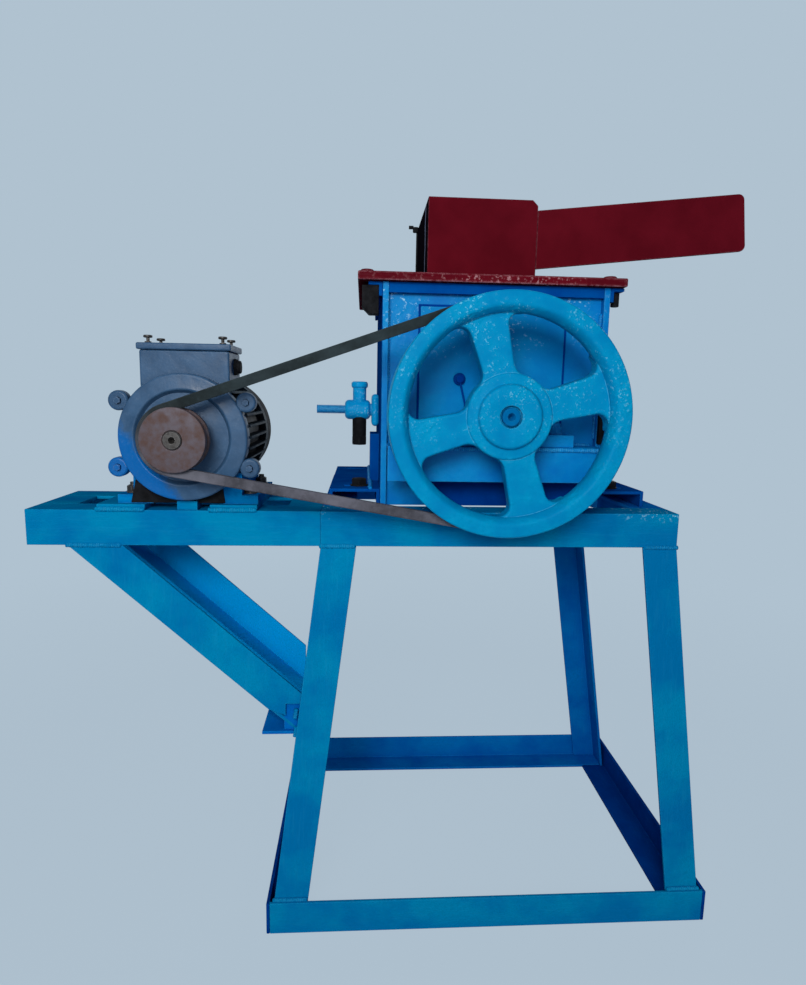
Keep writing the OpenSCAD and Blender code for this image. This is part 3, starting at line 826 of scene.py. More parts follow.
@dataclass(frozen=True)
class Iron(Finish):
    """Bare iron or steel under a film: turned, rusted or blackened, with grime in patches."""

    tone: str
    stain: str
    metallic: float
    roughness: float
    grain: Grain = Grain.NONE
    line_mm: float = 0.8
    stain_mm: float = 14.0
    stain_share: float = 0.8
    pit_mm: float = 0.3
    bright: str = "#9A9490"
    bright_share: float = 0.35
    specular: float = 0.5
    stain_range: Pair = (0.4, 0.62)
    edge_mm: float = 1.2

    def surface(self, tree: Tree) -> bpy.types.Node:
        """Mixes the shader from the finish's values.

        Args:
            tree: The material's tree.

        Returns:
            The shader node.
        """
        where, stretched = coordinates(tree, self.grain)
        lines = noise(tree, stretched, self.line_mm, detail=2.0)
        stains = noise(tree, where, self.stain_mm, detail=6.0, rough=0.65)
        grime = ramp(tree, stains, self.stain_range, (0.0, self.stain_share))
        colour = blend(tree, grime, linear(self.tone), linear(self.stain))
        worn = sums(tree, "MULTIPLY", edge_mask(tree, self.edge_mm), self.bright_share)
        colour = blend(tree, worn, colour, linear(self.bright))
        dull = ramp(tree, stains, (0.3, 0.7), (self.roughness - 0.1, self.roughness + 0.18))
        pits = bumped(tree, stains, self.pit_mm, strength=0.6)
        scored = bumped(tree, lines, depth_mm=0.1, under=pits, strength=0.4)
        return add_node(
            tree,
            "ShaderNodeBsdfPrincipled",
            {
                "Base Color": colour, "Roughness": dull, "Metallic": self.metallic,
                "Specular IOR Level": self.specular, "Normal": scored,
            },
        )


@dataclass(frozen=True)
class BeltRubber(Finish):
    """Wrapped belt rubber: dull dark cloth weave, with brown dust on the slack lower run."""

    tone: str
    dust: str
    dusty_tone: str
    dusty: str
    dusty_below: Pair = (0.69, 0.79)
    weave_mm: float = 1.1
    cloud_mm: float = 45.0
    scuff_mm: float = 7.0
    cloud_range: Pair = (0.38, 0.66)
    cloud_share: float = 0.7
    scuff_range: Pair = (0.55, 0.75)
    scuff_share: float = 0.35
    weave_deep_mm: float = 0.25
    scuff_deep_mm: float = 0.4
    roughness: float = 0.8
    specular: float = 0.3

    def surface(self, tree: Tree) -> bpy.types.Node:
        """Mixes the shader from the finish's values.

        Args:
            tree: The material's tree.

        Returns:
            The shader node.
        """
        where = coordinates(tree)[0]
        weave = add_node(
            tree, "ShaderNodeTexVoronoi", {"Vector": where, "Scale": per_metre(self.weave_mm)}
        ).outputs["Distance"]
        cloud = noise(tree, where, self.cloud_mm, detail=5.0, rough=0.6)
        scuff = noise(tree, where, self.scuff_mm, detail=4.0, rough=0.7)
        share = ramp(tree, cloud, self.cloud_range, (0.0, self.cloud_share))
        height = part_of(tree, where, "Z")
        upper = ramp(tree, height, self.dusty_below)
        tone = blend(tree, upper, linear(self.dusty_tone), linear(self.tone))
        dust = blend(tree, upper, linear(self.dusty), linear(self.dust))
        colour = blend(tree, share, tone, dust)
        scuffed = ramp(tree, scuff, self.scuff_range, (0.0, self.scuff_share))
        colour = blend(tree, scuffed, colour, dust)
        uneven = bumped(tree, scuff, self.scuff_deep_mm)
        cloth = bumped(tree, weave, self.weave_deep_mm, uneven, strength=0.5)
        return add_node(
            tree,
            "ShaderNodeBsdfPrincipled",
            {
                "Base Color": colour, "Roughness": self.roughness, "Normal": cloth,
                "Specular IOR Level": self.specular,
            },
        )


@dataclass(frozen=True)
class StudioPaper(Finish):
    """Matt pale paper that keeps the machine's soft shadow and fades to the background's colour."""

    tone: str
    far_tone: str
    near: float = 0.9
    far: float = 2.2
    plain_share: float = 0.93

    def surface(self, tree: Tree) -> bpy.types.Node:
        """Mixes the shader from the finish's values.

        Args:
            tree: The material's tree.

        Returns:
            The shader node.
        """
        where = coordinates(tree)[0]
        length = add_node(tree, "ShaderNodeVectorMath", {0: where}, operation="LENGTH")
        fade = ramp(tree, length.outputs["Value"], (self.near, self.far), (self.plain_share, 1.0))
        matt = add_node(tree, "ShaderNodeBsdfDiffuse", {"Color": linear(self.tone)})
        plain = add_node(tree, "ShaderNodeEmission", {"Color": linear(self.far_tone)})
        share = sums(tree, "MULTIPLY", fade, seen_directly(tree))
        links = {0: share, 1: matt.outputs[0], 2: plain.outputs[0]}
        return add_node(tree, "ShaderNodeMixShader", links)


# The second and third palettes are darker copies of the cyan: painted shade for stand pieces that
# lie in shade.
CYAN = {"tone": "#0080AC", "deep": "#005C9C", "pale": "#3CACD4", "chip": "#0C2C54"}
HALF_SHADE = {"tone": "#0070B8", "deep": "#004CA4", "pale": "#40A8DC", "chip": "#081C44"}
SHADED = {"tone": "#003C88", "deep": "#00246C", "pale": "#2878B4", "chip": "#081C44"}
BAR_X = Enamel("stand_enamel_along_x", grain=Grain.ALONG_X, **CYAN)
BAR_Y = Enamel("stand_enamel_along_y", grain=Grain.ALONG_Y, **CYAN)
BAR_Z = Enamel("stand_enamel_along_z", grain=Grain.ALONG_Z, **CYAN)
BRACE_Z = BackLitBraceEnamel("brace_enamel_lit_behind", grain=Grain.ALONG_Z, **CYAN)
# These four are the stand paint in darker copies: painted shade.
HALF_SHADE_X = Enamel("half_shade_enamel_along_x", grain=Grain.ALONG_X, **HALF_SHADE)
HALF_SHADE_Y = Enamel("half_shade_enamel_along_y", grain=Grain.ALONG_Y, **HALF_SHADE)
HALF_SHADE_Z = Enamel("half_shade_enamel_along_z", grain=Grain.ALONG_Z, **HALF_SHADE)
SHADED_Y = Enamel("shaded_enamel_along_y", grain=Grain.ALONG_Y, **SHADED)
# Painted highlight specks along the rail's top edge.
RAIL_X = Enamel(
    "rail_enamel", grain=Grain.ALONG_X, highlight_share=0.8, highlight_rise=(0.626, 0.64), **CYAN
)
# Painted highlight specks towards the body's top.
BODY_BLUE = Enamel(
    "body_enamel", tone="#0086C6", deep="#0060B4", pale="#60C8E8", chip="#0A2450", patch_mm=60.0,
    lump_depth_mm=1.2, pale_share=0.04, highlight_share=0.7, highlight_rise=(0.86, 0.95), specular=0.06,
)
# A darker copy of the body paint: painted shade on the left end plate, the top angles and the feet.
SHADED_SIDE_BLUE = Enamel(
    "body_shaded_side_enamel", tone="#00509C", deep="#003484", pale="#2C84C4", chip="#0A2450",
    patch_mm=60.0,
)
# A slightly lighter copy of the body paint, painted light against the wheel's shadow on the cover
# plates; it also takes painted highlight specks towards the top.
LIT_COVER_BLUE = Enamel(
    "cover_lit_enamel", tone="#0088C4", deep="#006CB4", pale="#60C8E8", chip="#0A2450", patch_mm=60.0,
    lump_depth_mm=1.0, highlight_share=0.6, highlight_rise=(0.84, 0.94), pale_share=0.03, specular=0.04,
)
# Painted highlight specks on the adjuster.
BOSS_BLUE = Enamel(
    "adjuster_enamel", tone="#00A4E0", deep="#0084C8", pale="#60C8E8", chip="#0A2450",
    highlight_share=0.6, highlight_mm=2.5, specular=0.06,
)
SHAFT_BLUE = Enamel("shaft_enamel", tone="#00649C", deep="#004884", pale="#2890BC", chip="#081C44")
# Dark navy for the joints round the cover plates and the pin head, and as painted shade under the
# front shelf.
SEAM_AND_SHADE_BLUE = Enamel("seam_and_shade_enamel", tone="#003C8C", deep="#002870", pale="#1C5CA4", chip="#081C44")
# Painted highlight specks on the wheel's upper part.
WHEEL_BLUE = Enamel(
    "flywheel_enamel", tone="#008EBA", deep="#0070A8", pale="#60C8E4", chip="#10304C",
    patch_mm=50.0, brush_mm=5.0, lump_mm=7.0, lump_depth_mm=2.4, highlight_tone="#98E0EE",
    highlight_share=0.45, highlight_mm=3.2, highlight_rise=(0.7, 0.84), specular=0.02, pale_share=0.02,
)
# Its left-facing side is painted shade, with a pale upright streak of painted reflection.
OXIDE_RED = ShadedLeftEnamel(
    "hopper_red_enamel", tone="#60101C", deep="#4C0A14", pale="#B47C84", chip="#180808",
    grain=Grain.ALONG_X, highlight_share=0.0, roughness=0.5, pale_share=0.0, lump_depth_mm=0.3,
)
# Painted highlight specks, and edges lightened as worn paint and partly a painted highlight.
FLANGE_RED = Enamel(
    "flange_red_enamel", tone="#64101C", deep="#3C0812", pale="#C08890", chip="#180808",
    grain=Grain.ALONG_X, highlight_tone="#D8A8AC", highlight_share=0.45, highlight_mm=5.0, roughness=0.5,
    pale_share=0.05, lump_depth_mm=0.6, edge_mm=3.5, rub_and_sheen_share=1.0,
)
# A few painted highlight specks.
MOTOR_GREY = MotorEnamel(
    "motor_enamel", tone="#385877", deep="#26425E", pale="#7088A4", chip="#1B222C",
    highlight_tone="#A8BCC8", highlight_share=0.05, patch_mm=30.0, roughness=0.34, specular=0.18,
    lump_depth_mm=0.25, pale_share=0.08, over_from=0.275, over_reach=0.02,
)
MOTOR_BLUE = Enamel(
    "motor_feet_enamel", tone="#0080BC", deep="#004890", pale="#3C90C8", chip="#10182C",
    patch_mm=30.0, lump_depth_mm=0.4,
)
MOTOR_DARK = Enamel(
    "motor_frame_enamel", tone="#22303A", deep="#10161C", pale="#36444C", chip="#0C0F14",
    patch_mm=30.0, roughness=0.5, specular=0.05, rub_and_sheen_share=0.1, lump_depth_mm=0.25, pale_share=0.04,
)
RUSTY = Iron("rusty_turned_iron", "#524A50", "#50382E", 0.2, 0.6, line_mm=1.5, specular=0.3)
DARK_STEEL = Iron("oiled_dark_steel", "#4A4846", "#2A2624", 0.7, 0.42, stain_mm=8.0)
BLACK_IRON = Iron(
    "coal_dusted_iron", "#141518", "#0A0A0C", 0.0, 0.7, bright_share=0.04, specular=0.1
)
BELT = BeltRubber("belt_rubber", "#141E1F", "#323F42", "#36363C", "#6C6C76")


# ---------------------------------------------------------------- fasteners and welds


@dataclass
class HexBolt:
    """A hexagon head or nut on a washer, with the end of its stud standing out."""

    across: float = 17 * MM
    head: float = 9 * MM
    washer: float = 2 * MM
    stud: float = 4 * MM
    dome: float = 0.8 * MM
    washer_share: float = 0.62
    dome_share: float = 0.44
    stud_share: float = 0.28

    def build(self, name: str, base: Point, facing: Facing) -> Piece:
        """Builds one fastener.

        Args:
            name: The object's name.
            base: The point on the surface that the washer lies on.
            facing: The way the head points.

        Returns:
            The fastener as one object.
        """
        corner = self.across / math.sqrt(3)
        shares = (self.washer_share, self.dome_share, self.stud_share)
        washer_r, dome_r, stud_r = (self.across * share for share in shares)
        on_washer = (0, 0, self.washer)
        parts = [
            rod("washer", (0, 0, 0), Facing.UP, washer_r, self.washer, sides=28),
            rod("head", on_washer, Facing.UP, corner, self.head, sides=6),
            rod("dome", (0, 0, self.washer + self.head), Facing.UP, dome_r, self.dome, sides=24),
        ]
        if self.stud:
            parts.append(rod("stud", on_washer, Facing.UP, stud_r, self.head + self.stud, sides=20))
        piece = joined(name, parts)
        round_edges(piece, 0.5 * MM, segments=1)
        piece.rotation_euler = facing.value
        piece.location = base
        return settle(piece, name)


@dataclass
class WeldBead:
    """A hand-laid fillet weld: a row of overlapping scales, a little uneven."""

    width: float = 7 * MM
    pitch: float = 3 * MM
    squashed: float = 0.85
    uneven: float = 0.09

    def build(self, start: Point, end: Point, seed: int) -> Piece:
        """Builds one bead between two points.

        Args:
            start: Where the bead starts.
            end: Where it ends.
            seed: Seed of its unevenness.

        Returns:
            The bead as one object.
        """
        first, last = Vector(start), Vector(end)
        run = last - first
        count = max(2, round(run.length / self.pitch))
        bpy.ops.mesh.primitive_uv_sphere_add(segments=8, ring_count=5, radius=self.width / 2)
        scale = bpy.context.object
        scale.data.transform(Matrix.Diagonal((self.squashed, 1.0, 1.0, 1.0)))
        settle(scale, "bead")
        repeated(scale, count, run.length / count)
        in_edit_mode(scale)
        bpy.ops.transform.vertex_random(offset=self.width * self.uneven, seed=seed)
        bpy.ops.object.mode_set(mode="OBJECT")
        scale.rotation_mode = "QUATERNION"
        scale.rotation_quaternion = run.to_track_quat("X", "Z")
        scale.location = first
        settle(scale, "bead")
        return smooth(scale, degrees=60)

    def lay(self, name: str, lines: Iterable[tuple[Point, Point]], first_seed: int) -> Piece:
        """Lays a bead between the two ends of each line, and joins them."""
        seeded = enumerate(lines, first_seed)
        return joined(name, [self.build(start, end, seed) for seed, (start, end) in seeded])


# ---------------------------------------------------------------- the stand


@dataclass
class Stand:
    """The welded angle-iron stand with its motor platform and braces."""

    bar_round: float = 1.1 * MM
    gusset_behind: float = 5.2 * MM
    gusset_thick: float = 3 * MM
    gusset_tall: float = 45 * MM
    gusset_inwards: float = 18 * MM
    gusset_outwards: float = 8 * MM
    gusset_round: float = 0.6 * MM
    brace_bead: float = 74 * MM
    bars_bead: float = 65 * MM
    seat_bead: float = 14 * MM
    seat_bead_proud: float = 5 * MM
    seat_beads_up: Pair = (-4 * MM, 24 * MM)
    bead: WeldBead = field(default_factory=WeldBead)

    def build(self) -> None:
        """Makes the bars, and the welds that join them."""
        along_x = BAR_X.material()
        along_y = BAR_Y.material()
        along_z = BAR_Z.material()
        half_shade_x = HALF_SHADE_X.material()
        half_shade_y = HALF_SHADE_Y.material()
        half_shade_z = HALF_SHADE_Z.material()
        shaded_y = SHADED_Y.material()
        # Back bars and legs, side bars, end angles and the seat bar take the darker copies: painted
        # shade.
        groups = {
            "base_front_bar": along_x,
            "base_back_bar": half_shade_x,
            "base_side_bars": shaded_y,
            "front_legs": along_z,
            "back_legs": half_shade_z,
            "table_front_rail": RAIL_X.material(),
            "table_back_rail": half_shade_x,
            "table_end_angles": half_shade_y,
            "platform_rails": along_x,
            "platform_end_angles": along_y,
            "motor_bars": along_y,
            "tension_block": along_x,
            "braces": BRACE_Z.material(),
            "brace_seat_bar": half_shade_y,
        }
        for node, material in groups.items():
            dress(node, material, "stand_paint", self.bar_round)
        place(self.seat_gusset(), half_shade_z, "stand_paint")
        place(self.welds(), along_x, "stand_paint")

    def seat_gusset(self) -> Piece:
        """Makes the small plate behind the front brace's cut end, at the leg.

        Returns:
            The plate.
        """
        low, high = extent("brace_seat_bar")
        front = low.y + self.gusset_behind
        gusset = block(
            "brace_gusset", (high.x - self.gusset_inwards, front, high.z),
            (high.x + self.gusset_outwards, front + self.gusset_thick, high.z + self.gusset_tall),
        )
        return round_edges(gusset, self.gusset_round)

    def welds(self) -> Piece:
        """Lays the beads of the stand's joints.

        Returns:
            The beads as one object.
        """
        rail_low, rail_high = extent("table_front_rail")
        back_y = extent("table_back_rail")[1].y
        base_low, base_high = extent("base_front_bar")
        base_back = extent("base_back_bar")[1]
        plat_low, plat_high = extent("platform_rails")
        leg = rail_high.z - rail_low.z
        wall = extent("base_side_bars")[0].x
        thick = base_low.x - wall
        lines: list[tuple[Point, Point]] = []
        foot_z = base_high.z + 1 * MM
        for side, table_x, base_x in ((1, rail_low.x, base_low.x), (-1, rail_high.x, base_high.x)):
            shift = (base_x - table_x) * (rail_low.z - foot_z) / rail_low.z
            for table_y, base_y, inwards in (
                (rail_low.y, base_low.y, 1), (back_y, base_back.y, -1),
            ):
                seam = table_y + inwards * 1 * MM
                lines.append(line_x(table_x, table_x + side * leg, seam, rail_low.z))
                foot_y = base_y + inwards * (thick + 1 * MM)
                foot_x = table_x + shift
                lines.append(line_x(foot_x, foot_x + side * leg, foot_y, foot_z))
                corner_y = base_y + inwards * (self.bead.width / 2 + 0.5 * MM)
                lines.append(line_z(base_x, corner_y, 4 * MM, base_high.z))
        lines.append(line_z(rail_low.x, plat_high.y, rail_low.z, rail_high.z))
        brace_x = extent("braces")[0].x
        for y in (plat_low.y + 1 * MM, plat_high.y - 1 * MM):
            lines.append(line_x(brace_x, brace_x + self.brace_bead, y, rail_low.z))
        seat_low, seat_high = extent("brace_seat_bar")
        for up in self.seat_beads_up:
            y, z = seat_low.y - self.seat_bead_proud, seat_high.z + up
            lines.append(
                ((seat_high.x - 1 * MM, y, z), (seat_high.x + 1 * MM, y, z + self.seat_bead))
            )
        bars_low, bars_high = extent("motor_bars")
        bars_z = bars_low.z + 1 * MM
        for y in (bars_low.y, bars_high.y):
            lines.append(line_x(bars_low.x, bars_low.x + self.bars_bead, y, bars_z))
            lines.append(line_x(bars_high.x - self.bars_bead, bars_high.x, y, bars_z))
        return self.bead.lay("stand_welds", lines, first_seed=0)


# ---------------------------------------------------------------- the crusher body


@dataclass
class CrusherBody:
    """The steel box with its shelves, bearings, top angles, feet and adjuster."""

    plate_round: float = 1.2 * MM
    strip_proud: float = 0.8 * MM
    strip_deep: float = 4 * MM
    bearing_round: float = 2.5 * MM
    clamp_round: float = 1.2 * MM
    breaker_round: float = 1.5 * MM
    edge_round: float = 0.8 * MM
    shade_round: float = 0.6 * MM
    pin_round: float = 1.5 * MM
    crest_share: float = 0.55
    bead_above_shelf: float = 12 * MM
    bead_below_top: float = 30 * MM
    stud_inset: float = 22 * MM
    bearing_deep: float = 44 * MM
    bearing_sole: float = 18 * MM
    shaft_nose: float = 12 * MM
    shoulder_in: float = 4 * MM
    centre_hole: float = 5 * MM
    centre_deep: float = 7 * MM
    shaft_chamfer: float = 1.5 * MM
    pitch: float = 2 * MM
    thread_deep: float = 0.9 * MM
    barrel_radius: float = 16 * MM
    barrel_long: float = 42 * MM
    barrel_round: float = 7 * MM
    neck_at: float = 38 * MM
    neck_radius: float = 10 * MM
    neck_long: float = 12 * MM
    pad_thick: float = 12 * MM
    pad_round: float = 6 * MM
    lock_radius: float = 11 * MM
    lock_down: float = 40 * MM
    lock_long: float = 34 * MM
    dome_radius: float = 13.5 * MM
    dome_tall: float = 11 * MM
    dome_round: float = 4 * MM
    nut_radius: float = 13.4 * MM
    nut_tall: float = 15 * MM
    sleeve_up: float = 14 * MM
    sleeve_radius: float = 11.5 * MM
    sleeve_tall: float = 32 * MM
    seam_wide: float = 3 * MM
    edge_wide: float = 8.2 * MM
    shade_from: float = 60 * MM
    holding_in_x: float = 44 * MM
    holding_in_y: float = 34 * MM
    pin_left: float = 51 * MM
    pin_up: float = 50 * MM
    pin_radius: float = 6 * MM
    pin_long: float = 9 * MM
    collar_radius: float = 9 * MM
    collar_long: float = 4 * MM
    wire_radius: float = 1.4 * MM
    wire_long: float = 40 * MM
    buffer_down: float = 42 * MM
    buffer_up: float = 13 * MM
    buffer_in: float = 8 * MM
    buffer_out: float = 10 * MM
    buffer_proud: float = 6 * MM
    buffer_deep: float = 30 * MM
    buffer_round: float = 2 * MM
    shelf_bead: float = 45 * MM
    wire_lean: float = 14
    holding: HexBolt = field(
        default_factory=lambda: HexBolt(across=22 * MM, head=9 * MM, washer=2 * MM, stud=0)
    )
    nut: HexBolt = field(default_factory=HexBolt)
    bead: WeldBead = field(default_factory=WeldBead)

    def build(self) -> None:
        """Makes the plates, the bearings and everything fixed to them."""
        paint = BODY_BLUE.material()
        black = BLACK_IRON.material()
        shaded_side_paint = SHADED_SIDE_BLUE.material()
        seam_and_shade_paint = SEAM_AND_SHADE_BLUE.material()
        bright = BOSS_BLUE.material()
        # The darker side paint on the left end plate, the top angles and the feet is painted shade.
        plates = {
            "end_plate_left": shaded_side_paint,
            "end_plate_right": paint,
            "front_plate": paint,
            "back_plate": paint,
            "cover_plates": LIT_COVER_BLUE.material(),
            "top_angles": shaded_side_paint,
            "bearing_shelves": paint,
            "body_feet": shaded_side_paint,
        }
        for node, material in plates.items():
            dress(node, material, "body_paint", self.plate_round)
        dress("shaft_bearings", paint, "body_paint", self.bearing_round, segments=3)
        place(self.adjuster_boss(), bright, "body_paint", "adjuster_boss")
        place(self.lock_bolt(), bright, "body_paint", "adjuster_lock_bolts")
        place(self.lock_nut(), black, "black_iron")
        place(self.lit_front_edge(), paint, "body_paint")
        place(self.under_shelf_shade(), seam_and_shade_paint, "body_paint")
        place(self.lock_sleeve(), black, "black_iron")
        place(self.threaded_rod(), paint, "body_paint", "adjuster_rod")
        dress("clamp_blocks", black, "black_iron", self.clamp_round)
        dress("breaker_plate", black, "black_iron", self.breaker_round)
        place(self.bearing_nuts(), paint, "body_paint")
        place(self.seams(), seam_and_shade_paint, "body_paint")
        place(self.hinge_pin(), seam_and_shade_paint, "body_paint")
        place(self.side_pad(), black, "black_iron")
        place(self.holding_bolts(), black, "black_iron")
        place(self.welds(), paint, "body_paint")
        frame["nodes"]["crushing_roll"].data.materials.clear()
        frame["nodes"]["crushing_roll"].data.materials.append(black)
        place(self.shaft(), SHAFT_BLUE.material(), "wheel_paint", "crusher_shaft", body="rotor")

    def shaft(self) -> Piece:
        """Turns the crusher shaft, with a chamfer and a centre hole at each end.

        Returns:
            The shaft.
        """
        low, high = extent("crusher_shaft")
        centre = Vector(((low.x + high.x) / 2, 0, (low.z + high.z) / 2))
        thick = (high.x - low.x) / 2
        nose, hole, cut = self.shaft_nose, self.centre_hole, self.shaft_chamfer
        shoulder = extent("flywheel")[1].y - self.shoulder_in
        section = [
            (ON_AXIS, low.y + self.centre_deep), (hole, low.y + 1 * MM),
            (hole + 0.5 * MM, low.y), (nose - cut, low.y), (nose, low.y + cut),
            (nose, shoulder), (thick, shoulder), (thick, high.y - 2 * MM),
            (thick - 2 * MM, high.y), (hole, high.y), (ON_AXIS, high.y - self.centre_deep),
        ]
        return smooth(turned("crusher_shaft.turned", centre, section, steps=64), degrees=40)

    def threaded_rod(self) -> Piece:
        """Turns the adjusting rod with the ridges of its thread.

        Returns:
            The core and the ridges as one object.
        """
        low, high = extent("adjuster_rod")
        radius = (high.y - low.y) / 2
        length = high.x - low.x
        end = (low.x, (low.y + high.y) / 2, (low.z + high.z) / 2)
        count = int(length / self.pitch)
        ridge = self.pitch * self.crest_share
        crest = rod("thread", end, Facing.RIGHT, radius, ridge, sides=20)
        repeated(crest, count, self.pitch)
        core = rod("core", end, Facing.RIGHT, radius - self.thread_deep, length, sides=20)
        return smooth(joined("adjuster_rod.threaded", [core, crest]), degrees=35)

    def bearing_nuts(self) -> Piece:
        """Puts a nut on each stud of the two bearings, and a grease nipple on top.

        Returns:
            The nuts and nipples as one object.
        """
        low, high = extent("shaft_bearings")
        axis_x = middle("shaft_bearings").x
        reach = (high.x - low.x) / 2 - self.stud_inset
        sole = extent("bearing_shelves")[1].z + self.bearing_sole
        parts = []
        for y in (low.y + self.bearing_deep / 2, high.y - self.bearing_deep / 2):
            for side in (-1, 1):
                parts.append(self.nut.build("nut", (axis_x + side * reach, y, sole), Facing.UP))
            for up, radius, tall in ((-0.5 * MM, 3.5 * MM, 5 * MM), (4 * MM, 2.2 * MM, 4 * MM)):
                at = (axis_x, y, high.z + up)
                parts.append(rod("nipple", at, Facing.UP, radius, tall, sides=16))
        return joined("bearing_nuts", parts)

    def adjuster_boss(self) -> Piece:
        """Makes the barrel-shaped boss and the welded pad that carries it.

        Returns:
            The boss, its neck and its pad as one object.
        """
        low, high = extent("adjuster_boss")
        at = middle("adjuster_boss")
        end, root = (low.x, at.y, at.z), (low.x + self.neck_at, at.y, at.z)
        barrel = rod("barrel", end, Facing.RIGHT, self.barrel_radius, self.barrel_long, sides=40)
        round_edges(barrel, self.barrel_round, segments=5)
        neck = rod("neck", root, Facing.RIGHT, self.neck_radius, self.neck_long, sides=32)
        pad = block("pad", (high.x - self.pad_thick, low.y, low.z), (high.x, high.y, high.z))
        round_edges(pad, self.pad_round, segments=4)
        return joined("adjuster_boss.barrel", [barrel, neck, pad])

    def lock_at(self, up: float) -> Vector:
        """Returns the point on the lock bolt's axis at a height above its foot."""
        at = middle("adjuster_lock_bolts")
        return Vector((at.x, at.y, extent("adjuster_lock_bolts")[0].z + up))

    def lock_bolt(self) -> Piece:
        """Makes the lock bolt's sleeve with its domed head.

        Returns:
            The sleeve and the head as one object.
        """
        low, high = extent("adjuster_lock_bolts")
        tall = high.z - low.z
        foot, dome = self.lock_at(tall - self.lock_down), self.lock_at(tall - self.dome_tall)
        sleeve = rod("sleeve", foot, Facing.UP, self.lock_radius, self.lock_long, sides=32)
        head = rod("head", dome, Facing.UP, self.dome_radius, self.dome_tall, sides=32)
        round_edges(head, self.dome_round, segments=4)
        return smooth(joined("adjuster_lock_bolt.turned", [sleeve, head]), degrees=40)

    def lock_nut(self) -> Piece:
        """Makes the nut at the foot of the lock bolt.

        Returns:
            The nut.
        """
        at, tall = self.lock_at(0), self.nut_tall
        nut = rod("adjuster_lock_nut", at, Facing.UP, self.nut_radius, tall, sides=6)
        return round_edges(nut, 2 * MM, segments=2)

    def lock_sleeve(self) -> Piece:
        """Makes the black sleeve between the boss and the lower nut.

        Returns:
            The sleeve.
        """
        at, radius, tall = self.lock_at(self.sleeve_up), self.sleeve_radius, self.sleeve_tall
        sleeve = rod("adjuster_lock_sleeve", at, Facing.UP, radius, tall, sides=32)
        return round_edges(sleeve, 1 * MM)

    def seams(self) -> Piece:
        """Makes the dark joints round the cover plates, filled with thick paint.

        Returns:
            The joints as one object.
        """
        low, high = extent("cover_plates")
        front, back = extent("front_plate")[0].y, extent("back_plate")[1].y
        wide = proud = self.seam_wide
        strips = []
        for y0, y1 in ((front - proud, front), (back, back + proud)):
            strips.append(block("seam", (low.x - wide, y0, low.z), (low.x, y1, high.z + wide)))
            strips.append(block("seam", (high.x, y0, low.z), (high.x + wide, y1, high.z + wide)))
            strips.append(block("seam", (low.x, y0, high.z), (high.x, y1, high.z + wide)))
        return joined("cover_seams", strips)

    def lit_front_edge(self) -> Piece:
        """Makes the front edge of the left end plate in the lit body paint, against the plate's
        painted shade.

        Returns:
            The painted strip.
        """
        low, high = extent("end_plate_left")
        right = extent("front_plate")[0].x
        left = right - self.edge_wide
        front, behind = low.y - self.strip_proud, low.y + self.strip_deep
        strip = block("body_lit_front_edge", (left, front, low.z), (right, behind, high.z))
        return round_edges(strip, self.edge_round)

    def under_shelf_shade(self) -> Piece:
        """Makes the dark strip below the front shelf, down to the table: painted shade under the
        shelf.

        Returns:
            The strip.
        """
        low, high = extent("front_plate")
        shade_strip = block(
            "body_under_shelf_shade",
            (low.x + self.shade_from, low.y - self.strip_proud, extent("body_feet")[0].z),
            (high.x, low.y + self.strip_deep, extent("bearing_shelves")[0].z),
        )
        return round_edges(shade_strip, self.shade_round)

    def holding_bolts(self) -> Piece:
        """Puts a black bolt in the front slots of both feet.

        Returns:
            The bolts as one object.
        """
        low, high = extent("body_feet")
        inset, y = self.holding_in_x, low.y + self.holding_in_y
        places = [(x, y, high.z) for x in (low.x + inset, high.x - inset)]
        bolts = [self.holding.build("holding", at, Facing.UP) for at in places]
        return joined("holding_bolts", bolts)

    def hinge_pin(self) -> Piece:
        """Makes the round pin head on the front cover plate, with its hanging locking wire.

        Returns:
            The head, its collar and the wire as one object.
        """
        shaft = middle("crusher_shaft")
        cover = extent("cover_plates")[0].y
        at = Vector((shaft.x - self.pin_left, cover, shaft.z + self.pin_up))
        head = rod("pin_head", at, Facing.FRONT, self.pin_radius, self.pin_long, sides=28)
        collar = rod("pin_collar", at, Facing.FRONT, self.collar_radius, self.collar_long, sides=28)
        round_edges(head, self.pin_round, segments=3)
        round_edges(collar, self.pin_round, segments=3)
        wire = rod("wire", (0, 0, 0), Facing.DOWN, self.wire_radius, self.wire_long, sides=12)
        wire.data.transform(Matrix.Rotation(-math.radians(self.wire_lean), 4, "Y"))
        wire.data.transform(Matrix.Translation(at + Vector((0, -6 * MM, -2 * MM))))
        return joined("cover_pin", [head, collar, wire])

    def side_pad(self) -> Piece:
        """Makes the black buffer block at the right end plate's front edge, below the shaft.

        Returns:
            The block.
        """
        low, high = extent("end_plate_right")
        shaft_z = middle("crusher_shaft").z
        pad = block(
            "side_buffer",
            (high.x - self.buffer_in, low.y - self.buffer_proud, shaft_z - self.buffer_down),
            (high.x + self.buffer_out, low.y + self.buffer_deep, shaft_z + self.buffer_up),
        )
        return round_edges(pad, self.buffer_round)

